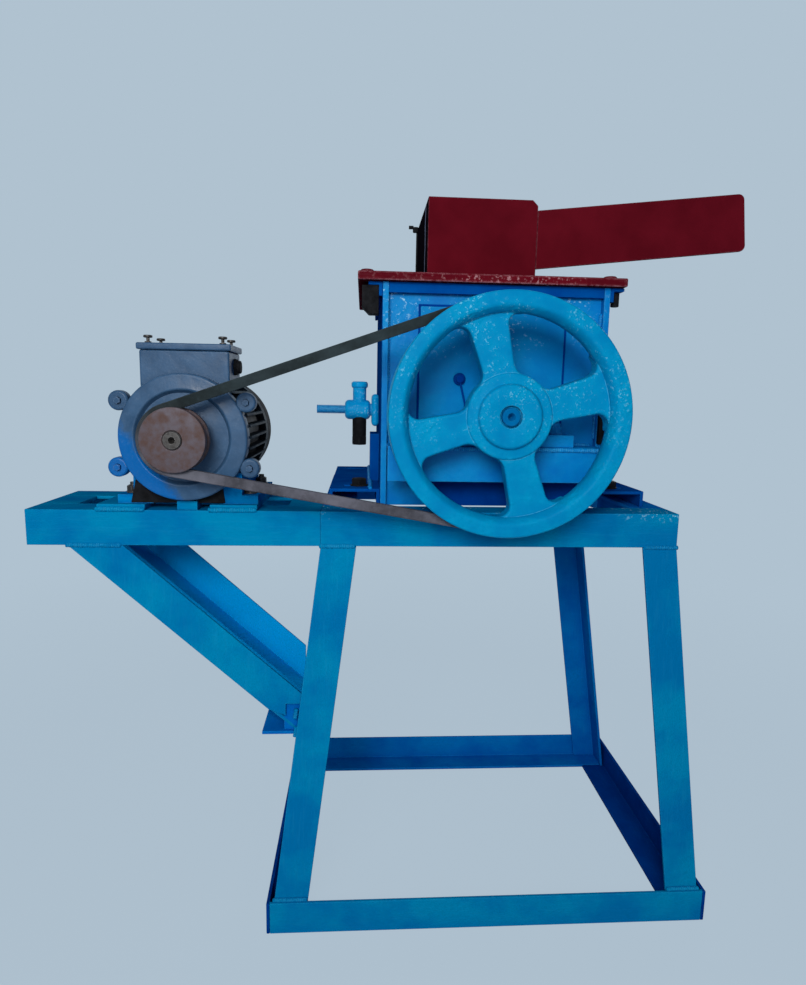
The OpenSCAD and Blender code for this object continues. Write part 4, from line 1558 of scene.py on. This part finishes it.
    def welds(self) -> Piece:
        """Lays the beads along the shelves, the feet and the plates.

        Returns:
            The beads as one object.
        """
        shelf_low, shelf_high = extent("bearing_shelves")
        foot_low, foot_high = extent("body_feet")
        plate_low, plate_high = extent("front_plate")
        back_y, top_z = extent("back_plate")[1].y, shelf_high.z
        end_left, end_right = extent("end_plate_left")[0].x, extent("end_plate_right")[1].x
        left, right = plate_low.x, plate_high.x
        lines = []
        for y_plate, y_edge in ((plate_low.y, shelf_low.y), (back_y, shelf_high.y)):
            lines.append(line_x(left + 4 * MM, left + self.shelf_bead, y_plate, top_z))
            lines.append(line_x(right - self.shelf_bead, right - 4 * MM, y_plate, top_z))
            lines.append(line_x(left + 6 * MM, right - 6 * MM, y_edge, top_z - 3 * MM))
            for x in (left, right):
                start, end = top_z + self.bead_above_shelf, plate_high.z - self.bead_below_top
                lines.append(line_z(x, y_plate, start, end))
        for x in (end_left, end_right):
            ends = (foot_low.y + 3 * MM, foot_high.y - 3 * MM)
            lines.append(tuple(Vector((x, y, foot_high.z)) for y in ends))
        return self.bead.lay("body_welds", lines, first_seed=100)


# ---------------------------------------------------------------- hopper and chute


@dataclass
class Hopper:
    """The flange plate, the open hopper on it and the chute at its side."""

    sheet_round: float = 0.9 * MM
    flange_round: float = 2 * MM
    bolt_in_x: float = 13 * MM
    bolt_in_y: float = 22 * MM
    bolt_shift: float = 6 * MM
    bolt_radius: float = 10 * MM
    bolt_tall: float = 6 * MM
    bolt_round: float = 3 * MM
    eye_radius: float = 3 * MM
    eye_long: float = 8 * MM
    bead: WeldBead = field(default_factory=lambda: WeldBead(width=5 * MM))

    def build(self) -> None:
        """Makes the red sheets, their welds and the flange's bolts."""
        red = OXIDE_RED.material()
        worn_and_sheen_red = FLANGE_RED.material()
        black = BLACK_IRON.material()
        for node in ("hopper_front_wall", "hopper_walls", "chute_front_cheek", "chute_tray"):
            dress(node, red, "hopper_paint", self.sheet_round)
        dress("flange_plate", worn_and_sheen_red, "hopper_paint", self.flange_round, segments=3)
        place(self.welds(), red, "hopper_paint")
        place(self.lug(), black, "black_iron")
        place(self.bolts(), worn_and_sheen_red, "hopper_paint")

    def bolts(self) -> Piece:
        """Puts low painted bolt heads on the flange plate, above what holds it down.

        Returns:
            The bolt heads as one object.
        """
        low, high = extent("flange_plate")
        radius, tall = self.bolt_radius, self.bolt_tall
        parts = []
        for x in (low.x + self.bolt_in_x, high.x - self.bolt_in_x - self.bolt_shift):
            for y in (low.y + self.bolt_in_y, high.y - self.bolt_in_y):
                head = rod("bolt", (x, y, high.z - 1 * MM), Facing.UP, radius, tall, sides=32)
                parts.append(round_edges(head, self.bolt_round, segments=4))
        return joined("flange_bolts", parts)

    def lug(self) -> Piece:
        """Makes the small lifting lug at the hopper's back left corner.

        Returns:
            The stem, the eye and the edge as one object.
        """
        low, high = extent("hopper_walls")
        eye_at = (low.x - 8 * MM, high.y - 5 * MM, high.z + 2 * MM)
        eye = rod("eye", eye_at, Facing.LEFT, self.eye_radius, self.eye_long, sides=20)
        stem = block(
            "stem", (low.x - 9 * MM, high.y - 8 * MM, high.z - 7 * MM),
            (low.x + 1 * MM, high.y - 2 * MM, high.z + 3 * MM),
        )
        round_edges(stem, 2 * MM)
        edge = block(
            "edge", (low.x - 2.5 * MM, high.y - 4 * MM, low.z),
            (low.x + 1 * MM, high.y, high.z - 2 * MM),
        )
        return joined("hopper_lug", [stem, eye, round_edges(edge, 0.8 * MM)])

    def welds(self) -> Piece:
        """Lays the beads round the hopper's foot and up its corners.

        Returns:
            The beads as one object.
        """
        wall_low, wall_high = extent("hopper_walls")
        front = extent("hopper_front_wall")[0].y
        z = wall_low.z + 0.5 * MM
        lines = [
            line_x(wall_low.x, wall_high.x, front, z),
            line_x(wall_low.x, wall_high.x, wall_high.y, z),
            ((wall_low.x, front, z), (wall_low.x, wall_high.y, z)),
            ((wall_high.x, front, z), (wall_high.x, wall_high.y, z)),
            line_z(wall_low.x, wall_high.y, z, wall_high.z - 6 * MM),
        ]
        return self.bead.lay("hopper_welds", lines, first_seed=200)


# ---------------------------------------------------------------- flywheel


@dataclass
class Flywheel:
    """The cast flywheel: bevelled rim with its belt groove, four filleted spokes, web and boss."""

    spoke_count: int = 4
    spoke_turn: float = 15.0
    rim: float = 26 * MM
    rim_bevel: float = 10 * MM
    web: float = 57 * MM
    hub: float = 42 * MM
    spoke_at_rim: float = 50 * MM
    spoke_at_hub: float = 43 * MM
    recess: float = 14 * MM
    spoke_thick: float = 26 * MM
    web_fillet: float = 20 * MM
    rim_fillet: float = 14 * MM
    rim_bite: float = 9.5 * MM
    bore: float = 14.5 * MM
    nose: float = 12 * MM
    groove_deep: float = 16 * MM
    groove_angle: float = 20.0

    def build(self) -> None:
        """Casts the wheel from its turned rim, its spider and its hub."""
        low, high = extent("flywheel")
        axis = middle("flywheel")
        radius = (high.z - low.z) / 2
        half = (high.y - low.y) / 2
        parts = [
            self.turned_rim(axis, radius, half), self.boss(axis, half),
            self.spider(axis, radius, half),
        ]
        piece = joined("flywheel.cast", parts)
        place(piece, WHEEL_BLUE.material(), "wheel_paint", "flywheel", body="rotor")

    def turned_rim(self, axis: Vector, radius: float, half: float) -> Piece:
        """Turns the rim with rounded corners and its V groove.

        Args:
            axis: The wheel's middle.
            radius: Outside radius of the wheel.
            half: Half of the rim's width.

        Returns:
            The rim.
        """
        inner = radius - self.rim
        belt = extent("v_belt")
        belt_half = (belt[1].y - belt[0].y) / 2
        lip = belt_half + 1.2 * MM
        deep = self.groove_deep
        low_half = lip - deep * math.tan(math.radians(self.groove_angle))
        soft = 3 * MM
        blunt = 7 * MM
        corner = arc((radius - soft, -half + soft), soft, 270, 360, 6)
        face = arc((inner + self.rim_bevel + 1 * MM, -half + blunt), blunt, 215, 270, 7)
        back = [(r, -y) for r, y in reversed(corner)]
        section = [
            (inner, -half + self.rim_bevel), *face, *corner, (radius, -lip),
            (radius - deep, -low_half), (radius - deep, low_half), (radius, lip), *back,
            (inner + 12 * MM, half), (inner + 11 * MM, half - 1.5 * MM), (inner, -4 * MM),
        ]
        return smooth(turned("rim", axis, section, steps=128), degrees=40)

    def spider(self, axis: Vector, radius: float, half: float) -> Piece:
        """Casts the web and the spokes in one piece, with fillets at the web and the rim.

        Args:
            axis: The wheel's middle.
            radius: Outside radius of the wheel.
            half: Half of the rim's width.

        Returns:
            The spider.
        """
        side = self.spoke_side(radius - self.rim)
        front = axis.y - half + self.recess
        outline = []
        for index in range(self.spoke_count):
            turn = math.radians(self.spoke_turn) + index * FULL_TURN / self.spoke_count
            for r, w in [(r, -w) for r, w in reversed(side)] + side:
                x = r * math.cos(turn) - w * math.sin(turn)
                z = r * math.sin(turn) + w * math.cos(turn)
                outline.append(Vector((axis.x + x, front, axis.z + z)))
        piece = prism("spider", outline, (0, self.spoke_thick, 0))
        return round_edges(piece, 4 * MM, segments=4)

    def spoke_side(self, inner: float) -> list[Pair]:
        """Draws one side of a spoke, from inside the rim down to the web's round.

        Args:
            inner: Inside radius of the rim.

        Returns:
            Pairs of the distance along the spoke and the distance from its middle line.
        """
        at_rim, at_hub = self.spoke_at_rim / 2, self.spoke_at_hub / 2
        outer_w = at_rim + self.rim_fillet
        outer_u = math.sqrt((inner - self.rim_fillet) ** 2 - outer_w**2)
        outer_turn = math.degrees(math.atan2(outer_w, outer_u))
        inner_w = at_hub + self.web_fillet
        inner_u = math.sqrt((self.web + self.web_fillet) ** 2 - inner_w**2)
        inner_turn = math.degrees(math.atan2(inner_w, inner_u))
        spread = outer_turn + 3.5
        points = arc((0, 0), inner + self.rim_bite, spread / 6, spread, 4)
        points += arc((0, 0), inner + 0.8 * MM, spread, spread, 2)[:1]
        points += arc((outer_u, outer_w), self.rim_fillet, outer_turn, -90, 9)
        points += arc((inner_u, inner_w), self.web_fillet, -90, inner_turn - 180, 8)
        return points + arc((0, 0), self.web, inner_turn, 43, 3)[1:]

    def boss(self, axis: Vector, half: float) -> Piece:
        """Turns the hub boss with its bore, rounded rims and the web's raised ring.

        Args:
            axis: The wheel's middle.
            half: Half of the rim's width.

        Returns:
            The boss.
        """
        soft = 5 * MM
        ring = 4 * MM
        front = -half + 4 * MM
        web_front = -half + self.recess - 3 * MM
        section = [
            (self.nose, front + 6 * MM), (self.bore, front + 5 * MM), (self.bore, front + 1.5 * MM),
            *arc((self.bore + 1.5 * MM, front + 1.5 * MM), 1.5 * MM, 180, 270, 3),
            *arc((self.hub - soft, front + soft), soft, 270, 360, 7),
            *arc((self.hub + 3 * MM, web_front - 3 * MM), 3 * MM, 180, 90, 4),
            *arc((self.web - ring, web_front + ring), ring, 270, 360, 6),
            (self.web, web_front + self.spoke_thick + 5 * MM),
            (self.hub, web_front + self.spoke_thick + 5 * MM), (self.hub, half - 4 * MM),
            (self.nose, half - 4 * MM),
        ]
        return smooth(turned("boss", axis, section, steps=96), degrees=40)


# ---------------------------------------------------------------- belt drive


@dataclass
class BeltDrive:
    """The motor's pulley and the V-belt that runs from it to the flywheel."""

    groove_angle: float = 20.0
    belt_top: float = 17 * MM
    belt_thick: float = 13 * MM
    wheel_run: float = 158 * MM
    pulley_run: float = 48 * MM

    def build(self) -> None:
        """Makes the pulley, the shaft end and the belt."""
        wheel = Vector(frame["joints"][0]["pos_m"])
        motor = Vector(frame["joints"][1]["pos_m"])
        place(self.belt(wheel, motor), BELT.material(), "belt_rubber", "v_belt")
        rusty = RUSTY.material()
        place(self.pulley(motor), rusty, "rusty_iron", "motor_pulley", body="motor_rotor")
        steel = DARK_STEEL.material()
        place(self.shaft(motor), steel, "bare_steel", "motor_shaft", body="motor_rotor")

    def belt(self, wheel: Vector, motor: Vector) -> Piece:
        """Runs the belt's section round the pulley, along the top, round the wheel and back.

        Args:
            wheel: A point on the crusher shaft's axis.
            motor: A point on the motor shaft's axis.

        Returns:
            The closed belt.
        """
        run = wheel - motor
        distance = math.hypot(run.x, run.z)
        tilt = math.atan2(run.z, run.x)
        wrap = math.asin((self.wheel_run - self.pulley_run) / distance)
        length = distance * math.cos(wrap)
        top = self.belt_top / 2
        low = top - self.belt_thick * math.tan(math.radians(self.groove_angle))
        start = tilt - wrap - math.pi / 2
        soft = 1.2 * MM
        half_section = [(0.0, -top + soft), (-soft, -top), (-self.belt_thick, -low)]
        section = half_section + [(depth, -y) for depth, y in reversed(half_section)]
        outward = Vector((math.cos(start), 0, math.sin(start)))
        points = [
            motor + outward * (self.pulley_run + depth) + Vector((0, y, 0)) for depth, y in section
        ]
        piece = shaped_loop(points, filled=False)
        in_edit_mode(piece)
        # A spin about Y goes from +X towards +Z, and keeps its last section selected.
        lower = Vector((math.cos(tilt - wrap), 0, math.sin(tilt - wrap)))
        upper = Vector((math.cos(tilt + wrap), 0, math.sin(tilt + wrap)))
        self.straight(lower * length)
        self.bend(wheel, math.pi + 2 * wrap, steps=96)
        self.straight(-upper * length)
        self.bend(motor, math.pi - 2 * wrap, steps=40)
        bpy.ops.mesh.select_all(action="SELECT")
        bpy.ops.mesh.remove_doubles(threshold=2e-5)
        bpy.ops.mesh.normals_make_consistent(inside=False)
        bpy.ops.object.mode_set(mode="OBJECT")
        return smooth(settle(piece, "v_belt.wrapped"), degrees=30)

    def straight(self, along: Vector) -> None:
        """Extrudes the selected section along a straight run, in edit mode."""
        bpy.ops.mesh.extrude_edges_move(TRANSFORM_OT_translate={"value": tuple(along)})

    def bend(self, centre: Vector, angle: float, steps: int) -> None:
        """Spins the selected section round a pulley, in edit mode."""
        bpy.ops.mesh.spin(steps=steps, angle=angle, center=centre, axis=(0, 1, 0))

    def pulley(self, motor: Vector) -> Piece:
        """Turns the pulley with its groove, its recessed face and its hub.

        Args:
            motor: A point on the motor shaft's axis.

        Returns:
            The pulley.
        """
        low, high = extent("motor_pulley")
        radius = (high.z - low.z) / 2
        half = (high.y - low.y) / 2
        slope = math.tan(math.radians(self.groove_angle))
        lip = self.belt_top / 2 + 0.4 * MM - (self.pulley_run - radius) * slope
        groove = self.pulley_run - self.belt_thick - 3 * MM
        deep_half = lip - (radius - groove) * slope
        bore = 12 * MM
        soft = 1.2 * MM
        rim = [
            *arc((radius - soft, -half + soft), soft, 270, 360, 4), (radius, -lip - 0.8 * MM),
            (radius - 0.8 * MM, -lip), (groove, -deep_half),
        ]
        section = [
            (bore, -half + 1.5 * MM), (bore + 1.5 * MM, -half), *rim,
            *[(r, -y) for r, y in reversed(rim)], (bore, half),
        ]
        centre = Vector((motor.x, (low.y + high.y) / 2, motor.z))
        return smooth(turned("motor_pulley.turned", centre, section, steps=96), degrees=32)

    def shaft(self, motor: Vector) -> Piece:
        """Turns the motor shaft with a chamfered end and a centre hole.

        Args:
            motor: A point on the motor shaft's axis.

        Returns:
            The motor shaft.
        """
        low, high = extent("motor_shaft")
        radius = (high.x - low.x) / 2
        section = [
            (ON_AXIS, low.y + 8 * MM), (4 * MM, low.y + 1 * MM), (4.5 * MM, low.y),
            (radius - 1.2 * MM, low.y), (radius, low.y + 1.2 * MM), (radius, high.y),
            (ON_AXIS, high.y),
        ]
        centre = Vector((motor.x, 0, motor.z))
        return smooth(turned("motor_shaft.turned", centre, section, steps=48), degrees=35)


# ---------------------------------------------------------------- motor


@dataclass
class Motor:
    """The electric motor: finned frame, end shields, fan cover, feet and terminal box."""

    lug_angles: tuple[int, ...] = (30, 150, 205, 335)
    lug_out: float = 11 * MM
    lug_radius: float = 13.5 * MM
    lug_short: float = 4 * MM
    lug_round: float = 3.5 * MM
    shield_face: float = 12 * MM
    shield_round: float = 3 * MM
    shield_bore: float = 12.05 * MM
    shield_ring: float = 66 * MM
    rear_bore: float = 60 * MM
    screw_seat: float = 17 * MM
    cover_round: float = 12 * MM
    slot_wide: float = 5 * MM
    slot_deep: float = 4 * MM
    slot_slope: float = 0.5 * MM
    slot_outer: float = 64 * MM
    slot_step: float = 10 * MM
    slot_rings: int = 5
    lid_round: float = 2.2 * MM
    gland_round: float = 1.2 * MM
    knob_round: float = 1.2 * MM
    stem_radius: float = 2.2 * MM
    stem_tall: float = 9 * MM
    stem_foot: float = 4.5 * MM
    rib_foot_left: float = 30 * MM
    rib_top_left: float = 20 * MM
    rib_proud: float = 1.5 * MM
    rib_thick: float = 11 * MM
    rib_tall: float = 46 * MM
    gland_down: float = 20 * MM
    gland_radius: float = 13 * MM
    gland_thick: float = 5 * MM
    cable_radius: float = 9 * MM
    cable_long: float = 10 * MM
    knob_inset: float = 13 * MM
    knob_radius: float = 6 * MM
    knob_thick: float = 3.5 * MM
    knob_up: float = 7 * MM
    foot_sole: float = 12 * MM
    foot_in_x: float = 14 * MM
    foot_in_y: float = 22 * MM
    screw: HexBolt = field(
        default_factory=lambda: HexBolt(across=8.5 * MM, head=4 * MM, washer=1 * MM, stud=0)
    )
    foot_bolt: HexBolt = field(
        default_factory=lambda: HexBolt(across=15 * MM, head=8 * MM, washer=2 * MM, stud=5 * MM)
    )

    def build(self) -> None:
        """Makes the motor's castings and fasteners."""
        light = MOTOR_GREY.material()
        dark = MOTOR_DARK.material()
        steel = DARK_STEEL.material()
        blue = MOTOR_BLUE.material()
        black = BLACK_IRON.material()
        axis = Vector(frame["joints"][1]["pos_m"])
        dress("motor_frame", dark, "motor_paint", 1 * MM)
        place(self.end_shields(axis), light, "motor_paint", "motor_end_shields")
        place(self.rear_shield(axis), dark, "motor_paint")
        place(self.shield_screws(axis), light, "motor_paint")
        place(self.fan_cover(axis), black, "motor_paint", "motor_fan_cover")
        dress("motor_feet", blue, "motor_paint", 2 * MM, segments=3)
        place(self.under_motor_shade(axis), black, "motor_paint")
        place(self.gland(), black, "motor_paint")
        dress("terminal_box", light, "motor_paint", 3 * MM, segments=3)
        dress("terminal_box_lid", light, "motor_paint", self.lid_round, segments=3)
        place(self.fasteners(), steel, "bare_steel")

    def end_shields(self, axis: Vector) -> Piece:
        """Turns the dished drive-end shield and casts its lugs.

        Args:
            axis: A point on the motor's axis.

        Returns:
            The shield and its lugs as one object.
        """
        low, high = extent("motor_end_shields")
        radius = (high.z - low.z) / 2
        face = low.y + self.shield_face
        back = extent("motor_frame")[0].y
        soft, bore, ring = self.shield_round, self.shield_bore, self.shield_ring
        section = [
            (bore, low.y), *arc((28 * MM, low.y + 2 * MM), 2 * MM, 270, 360, 3),
            (31 * MM, face + 3 * MM), (38 * MM, face + 6 * MM), (ring - 6 * MM, face + 7 * MM),
            *arc((ring, face + 3 * MM), 3 * MM, 200, 290, 6), (radius - 5 * MM, face + 2 * MM),
            *arc((radius - soft, face + 2 * MM + soft), soft, 270, 360, 5), (radius, back),
            (bore, back),
        ]
        centre = Vector((axis.x, 0, axis.z))
        drive = smooth(turned("drive_shield", centre, section, steps=96), degrees=32)
        parts = [drive]
        reach = back - face - self.lug_short
        for x, z in self.lug_places(axis):
            lug = rod("lug", (x, back, z), Facing.FRONT, self.lug_radius, reach, sides=28)
            parts.append(round_edges(lug, self.lug_round, segments=4))
        return joined("motor_end_shields.cast", parts)

    def rear_shield(self, axis: Vector) -> Piece:
        """Turns the plain shield at the fan.

        Args:
            axis: A point on the motor's axis.

        Returns:
            The shield.
        """
        low, high = extent("motor_end_shields")
        radius = (high.z - low.z) / 2
        soft, inner = self.shield_round, self.rear_bore
        front = extent("motor_frame")[1].y
        section = [
            (inner, front), (radius, front), *arc((radius - soft, high.y - soft), soft, 0, 90, 4),
            (inner, high.y),
        ]
        centre = Vector((axis.x, 0, axis.z))
        return smooth(turned("motor_rear_shield", centre, section, steps=96), degrees=32)

    def shield_screws(self, axis: Vector) -> Piece:
        """Puts a painted screw in each lug of the drive-end shield.

        Args:
            axis: A point on the motor's axis.

        Returns:
            The screws as one object.
        """
        front = extent("motor_end_shields")[0].y + self.screw_seat
        places = self.lug_places(axis)
        return joined(
            "motor_shield_screws",
            [self.screw.build("screw", (x, front, z), Facing.FRONT) for x, z in places],
        )

    def lug_places(self, axis: Vector) -> list[Pair]:
        """Returns the places of the drive-end shield's four bolt lugs.

        Args:
            axis: A point on the motor's axis.

        Returns:
            Each lug's X and Z.
        """
        low, high = extent("motor_end_shields")
        reach = (high.z - low.z) / 2 + self.lug_out
        return [
            (axis.x + reach * math.cos(math.radians(a)), axis.z + reach * math.sin(math.radians(a)))
            for a in self.lug_angles
        ]

    def fan_cover(self, axis: Vector) -> Piece:
        """Turns the pressed fan cover, with rings of air slots in its back.

        Args:
            axis: A point on the motor's axis.

        Returns:
            The cover.
        """
        low, high = extent("motor_fan_cover")
        radius = (high.z - low.z) / 2
        soft, slope, slot = self.cover_round, self.slot_slope, self.slot_wide
        floor = high.y - self.slot_deep
        rings: list[Pair] = []
        for ring in range(self.slot_rings):
            r = self.slot_outer - ring * self.slot_step
            rings += [(r, high.y), (r - slope, floor)]
            rings += [(r - slot + slope, floor), (r - slot, high.y)]
        section = [
            (ON_AXIS, low.y), (radius, low.y),
            *arc((radius - soft, high.y - soft), soft, 0, 90, 7), *rings, (ON_AXIS, high.y),
        ]
        centre = Vector((axis.x, 0, axis.z))
        return smooth(turned("motor_fan_cover.pressed", centre, section, steps=96), degrees=32)

    def under_motor_shade(self, axis: Vector) -> Piece:
        """Makes the black rib that closes the housing between its feet: painted shade under the
        motor.

        Args:
            axis: A point on the motor's axis.

        Returns:
            The rib.
        """
        low, high = extent("motor_feet")
        half = (high.x - low.x) / 4
        front, foot, top = low.y - self.rib_proud, low.z + 1 * MM, low.z + self.rib_tall
        outline = [
            Vector((axis.x - half - self.rib_foot_left, front, foot)),
            Vector((axis.x + half + 3 * MM, front, foot)),
            Vector((axis.x + half - 3 * MM, front, top)),
            Vector((axis.x - half - self.rib_top_left, front, top)),
        ]
        return round_edges(prism("motor_under_shade_rib", outline, (0, self.rib_thick, 0)), 1 * MM)

    def gland(self) -> Piece:
        """Makes the black cable gland on the right side of the terminal box.

        Returns:
            The collar and the neck as one object.
        """
        low, high = extent("terminal_box")
        at = (high.x - 1 * MM, (low.y + high.y) / 2, high.z - self.gland_down)
        collar = rod("collar", at, Facing.RIGHT, self.gland_radius, self.gland_thick, sides=6)
        neck = rod("neck", at, Facing.RIGHT, self.cable_radius, self.cable_long, sides=24)
        gland = joined("motor_cable_gland", [collar, neck])
        return round_edges(gland, self.gland_round, segments=2)

    def knob(self, at: Vector) -> Piece:
        """Makes one of the lid's thin-necked thumb screws.

        Args:
            at: The point on the lid that it stands on.

        Returns:
            The screw.
        """
        neck = rod("neck", at, Facing.UP, self.stem_radius, self.stem_tall, sides=16)
        foot = rod("foot", at, Facing.UP, self.stem_foot, 2 * MM, sides=20)
        above = at + Vector((0, 0, self.knob_up))
        head = rod("head", above, Facing.UP, self.knob_radius, self.knob_thick, sides=24)
        round_edges(head, self.knob_round, segments=2)
        return joined("thumb_screw", [neck, foot, head])

    def fasteners(self) -> Piece:
        """Puts in the lid's thumb screws and the foot bolts.

        Returns:
            The screws and bolts as one object.
        """
        parts = []
        lid_low, lid_high = extent("terminal_box_lid")
        inset = self.knob_inset
        for x in (lid_low.x + inset, lid_high.x - inset):
            for y in (lid_low.y + inset, lid_high.y - inset):
                parts.append(self.knob(Vector((x, y, lid_high.z))))
        foot_low, foot_high = extent("motor_feet")
        sole = foot_low.z + self.foot_sole
        for x in (foot_low.x + self.foot_in_x, foot_high.x - self.foot_in_x):
            for y in (foot_low.y + self.foot_in_y, foot_high.y - self.foot_in_y):
                parts.append(self.foot_bolt.build("bolt", (x, y, sole), Facing.UP))
        return joined("motor_fasteners", parts)


# ---------------------------------------------------------------- studio


@dataclass(frozen=True)
class Lamp:
    """A round, soft lamp that points at the machine."""

    name: str
    at: tuple[float, float, float]
    size: float
    power: float

    def build(self, target: Vector) -> None:
        """Adds the lamp, turned to its target.

        Args:
            target: The point that it lights.
        """
        data = bpy.data.lights.new(self.name, "AREA")
        data.shape = "DISK"
        data.size = self.size
        data.energy = self.power
        lamp = bpy.data.objects.new(self.name, data)
        lamp.location = self.at
        lamp.rotation_euler = (target - Vector(self.at)).to_track_quat("-Z", "Y").to_euler()
        bpy.context.scene.collection.objects.link(lamp)


LAMPS = (
    Lamp("key", (-0.35, -1.85, 1.4), 0.7, 22.0),
    Lamp("glint", (-0.9, -1.9, 2.3), 0.14, 5.0),
    Lamp("fill", (-0.3, -3.0, 1.1), 2.6, 19.0),
    Lamp("back", (1.6, 2.4, 1.4), 1.6, 16.0),
)


@dataclass
class Studio:
    """The pale floor, the soft lamps and the camera."""

    paper: StudioPaper = StudioPaper("pale_paper", "#B9C6D0", "#B0C2D0")
    sky: str = "#A9BCEB"
    sky_strength: float = 0.2
    floor_size: float = 60.0
    aim: tuple[float, float, float] = (0.0, 0.0, 0.6)
    lens: float = 23.76
    sensor: float = 36.0
    reach: float = 50.0
    eye: tuple[float, float, float] = (-190.5 * MM, -902.2 * MM, 804.7 * MM)
    yaw: float = 3.6
    pitch: float = -8.6
    roll: float = 1.1

    def build(self) -> None:
        """Sets up the floor, the world, the lamps and the camera."""
        self.floor()
        self.light()
        self.camera()
        bpy.context.scene.view_settings.view_transform = "Standard"

    def floor(self) -> None:
        """Lays the wide sheet of paper that the machine stands on."""
        bpy.ops.mesh.primitive_grid_add(x_subdivisions=8, y_subdivisions=8, size=self.floor_size)
        piece = settle(bpy.context.object, "studio_floor")
        piece.data.materials.append(self.paper.material())

    def light(self) -> None:
        """Adds a key, a small glint and a wide fill in front, one lamp behind, and a cool world."""
        for lamp in LAMPS:
            lamp.build(Vector(self.aim))
        world = bpy.data.worlds.new("studio")
        bpy.context.scene.world = world
        world.use_nodes = True
        tree = world.node_tree
        tree.nodes.clear()
        links = {0: seen_directly(tree)}
        skies = ((self.sky, self.sky_strength), (self.paper.far_tone, 1.0))
        for slot, (tone, strength) in enumerate(skies, 1):
            sky = add_node(
                tree, "ShaderNodeBackground", {"Color": linear(tone), "Strength": strength}
            )
            links[slot] = sky.outputs[0]
        mixed = add_node(tree, "ShaderNodeMixShader", links)
        add_node(tree, "ShaderNodeOutputWorld", {"Surface": mixed.outputs[0]})

    def camera(self) -> None:
        """Puts the camera at the viewing place, turned, tipped and rolled a little."""
        shaft = frame["joints"][0]["pos_m"]
        rail = extent("table_front_rail")[0]
        eye = Vector((shaft[0] + self.eye[0], rail.y + self.eye[1], self.eye[2]))
        yaw, pitch, roll = (math.radians(a) for a in (self.yaw, self.pitch, self.roll))
        ahead = Vector(
            (math.sin(yaw) * math.cos(pitch), math.cos(yaw) * math.cos(pitch), math.sin(pitch))
        )
        right = Vector((math.cos(yaw), -math.sin(yaw), 0))
        up = right.cross(ahead)
        cam_x = right * math.cos(roll) + up * math.sin(roll)
        cam_y = up * math.cos(roll) - right * math.sin(roll)
        data = bpy.data.cameras.new("camera")
        data.lens = self.lens
        data.sensor_width = self.sensor
        data.clip_end = self.reach
        camera = bpy.data.objects.new("camera", data)
        turn = Matrix((cam_x, cam_y, -ahead)).transposed().to_4x4()
        camera.matrix_world = Matrix.Translation(eye) @ turn
        bpy.context.scene.collection.objects.link(camera)
        bpy.context.scene.camera = camera


def main() -> None:
    """Builds the sub-assemblies in order and then the studio."""
    logging.basicConfig(level=logging.INFO, format="%(name)s: %(message)s")
    for assembly in (Stand(), CrusherBody(), Hopper(), Flywheel(), BeltDrive(), Motor()):
        LOG.info("building %s", type(assembly).__name__)
        assembly.build()
    Studio().build()


if __name__ == "__main__":
    main()
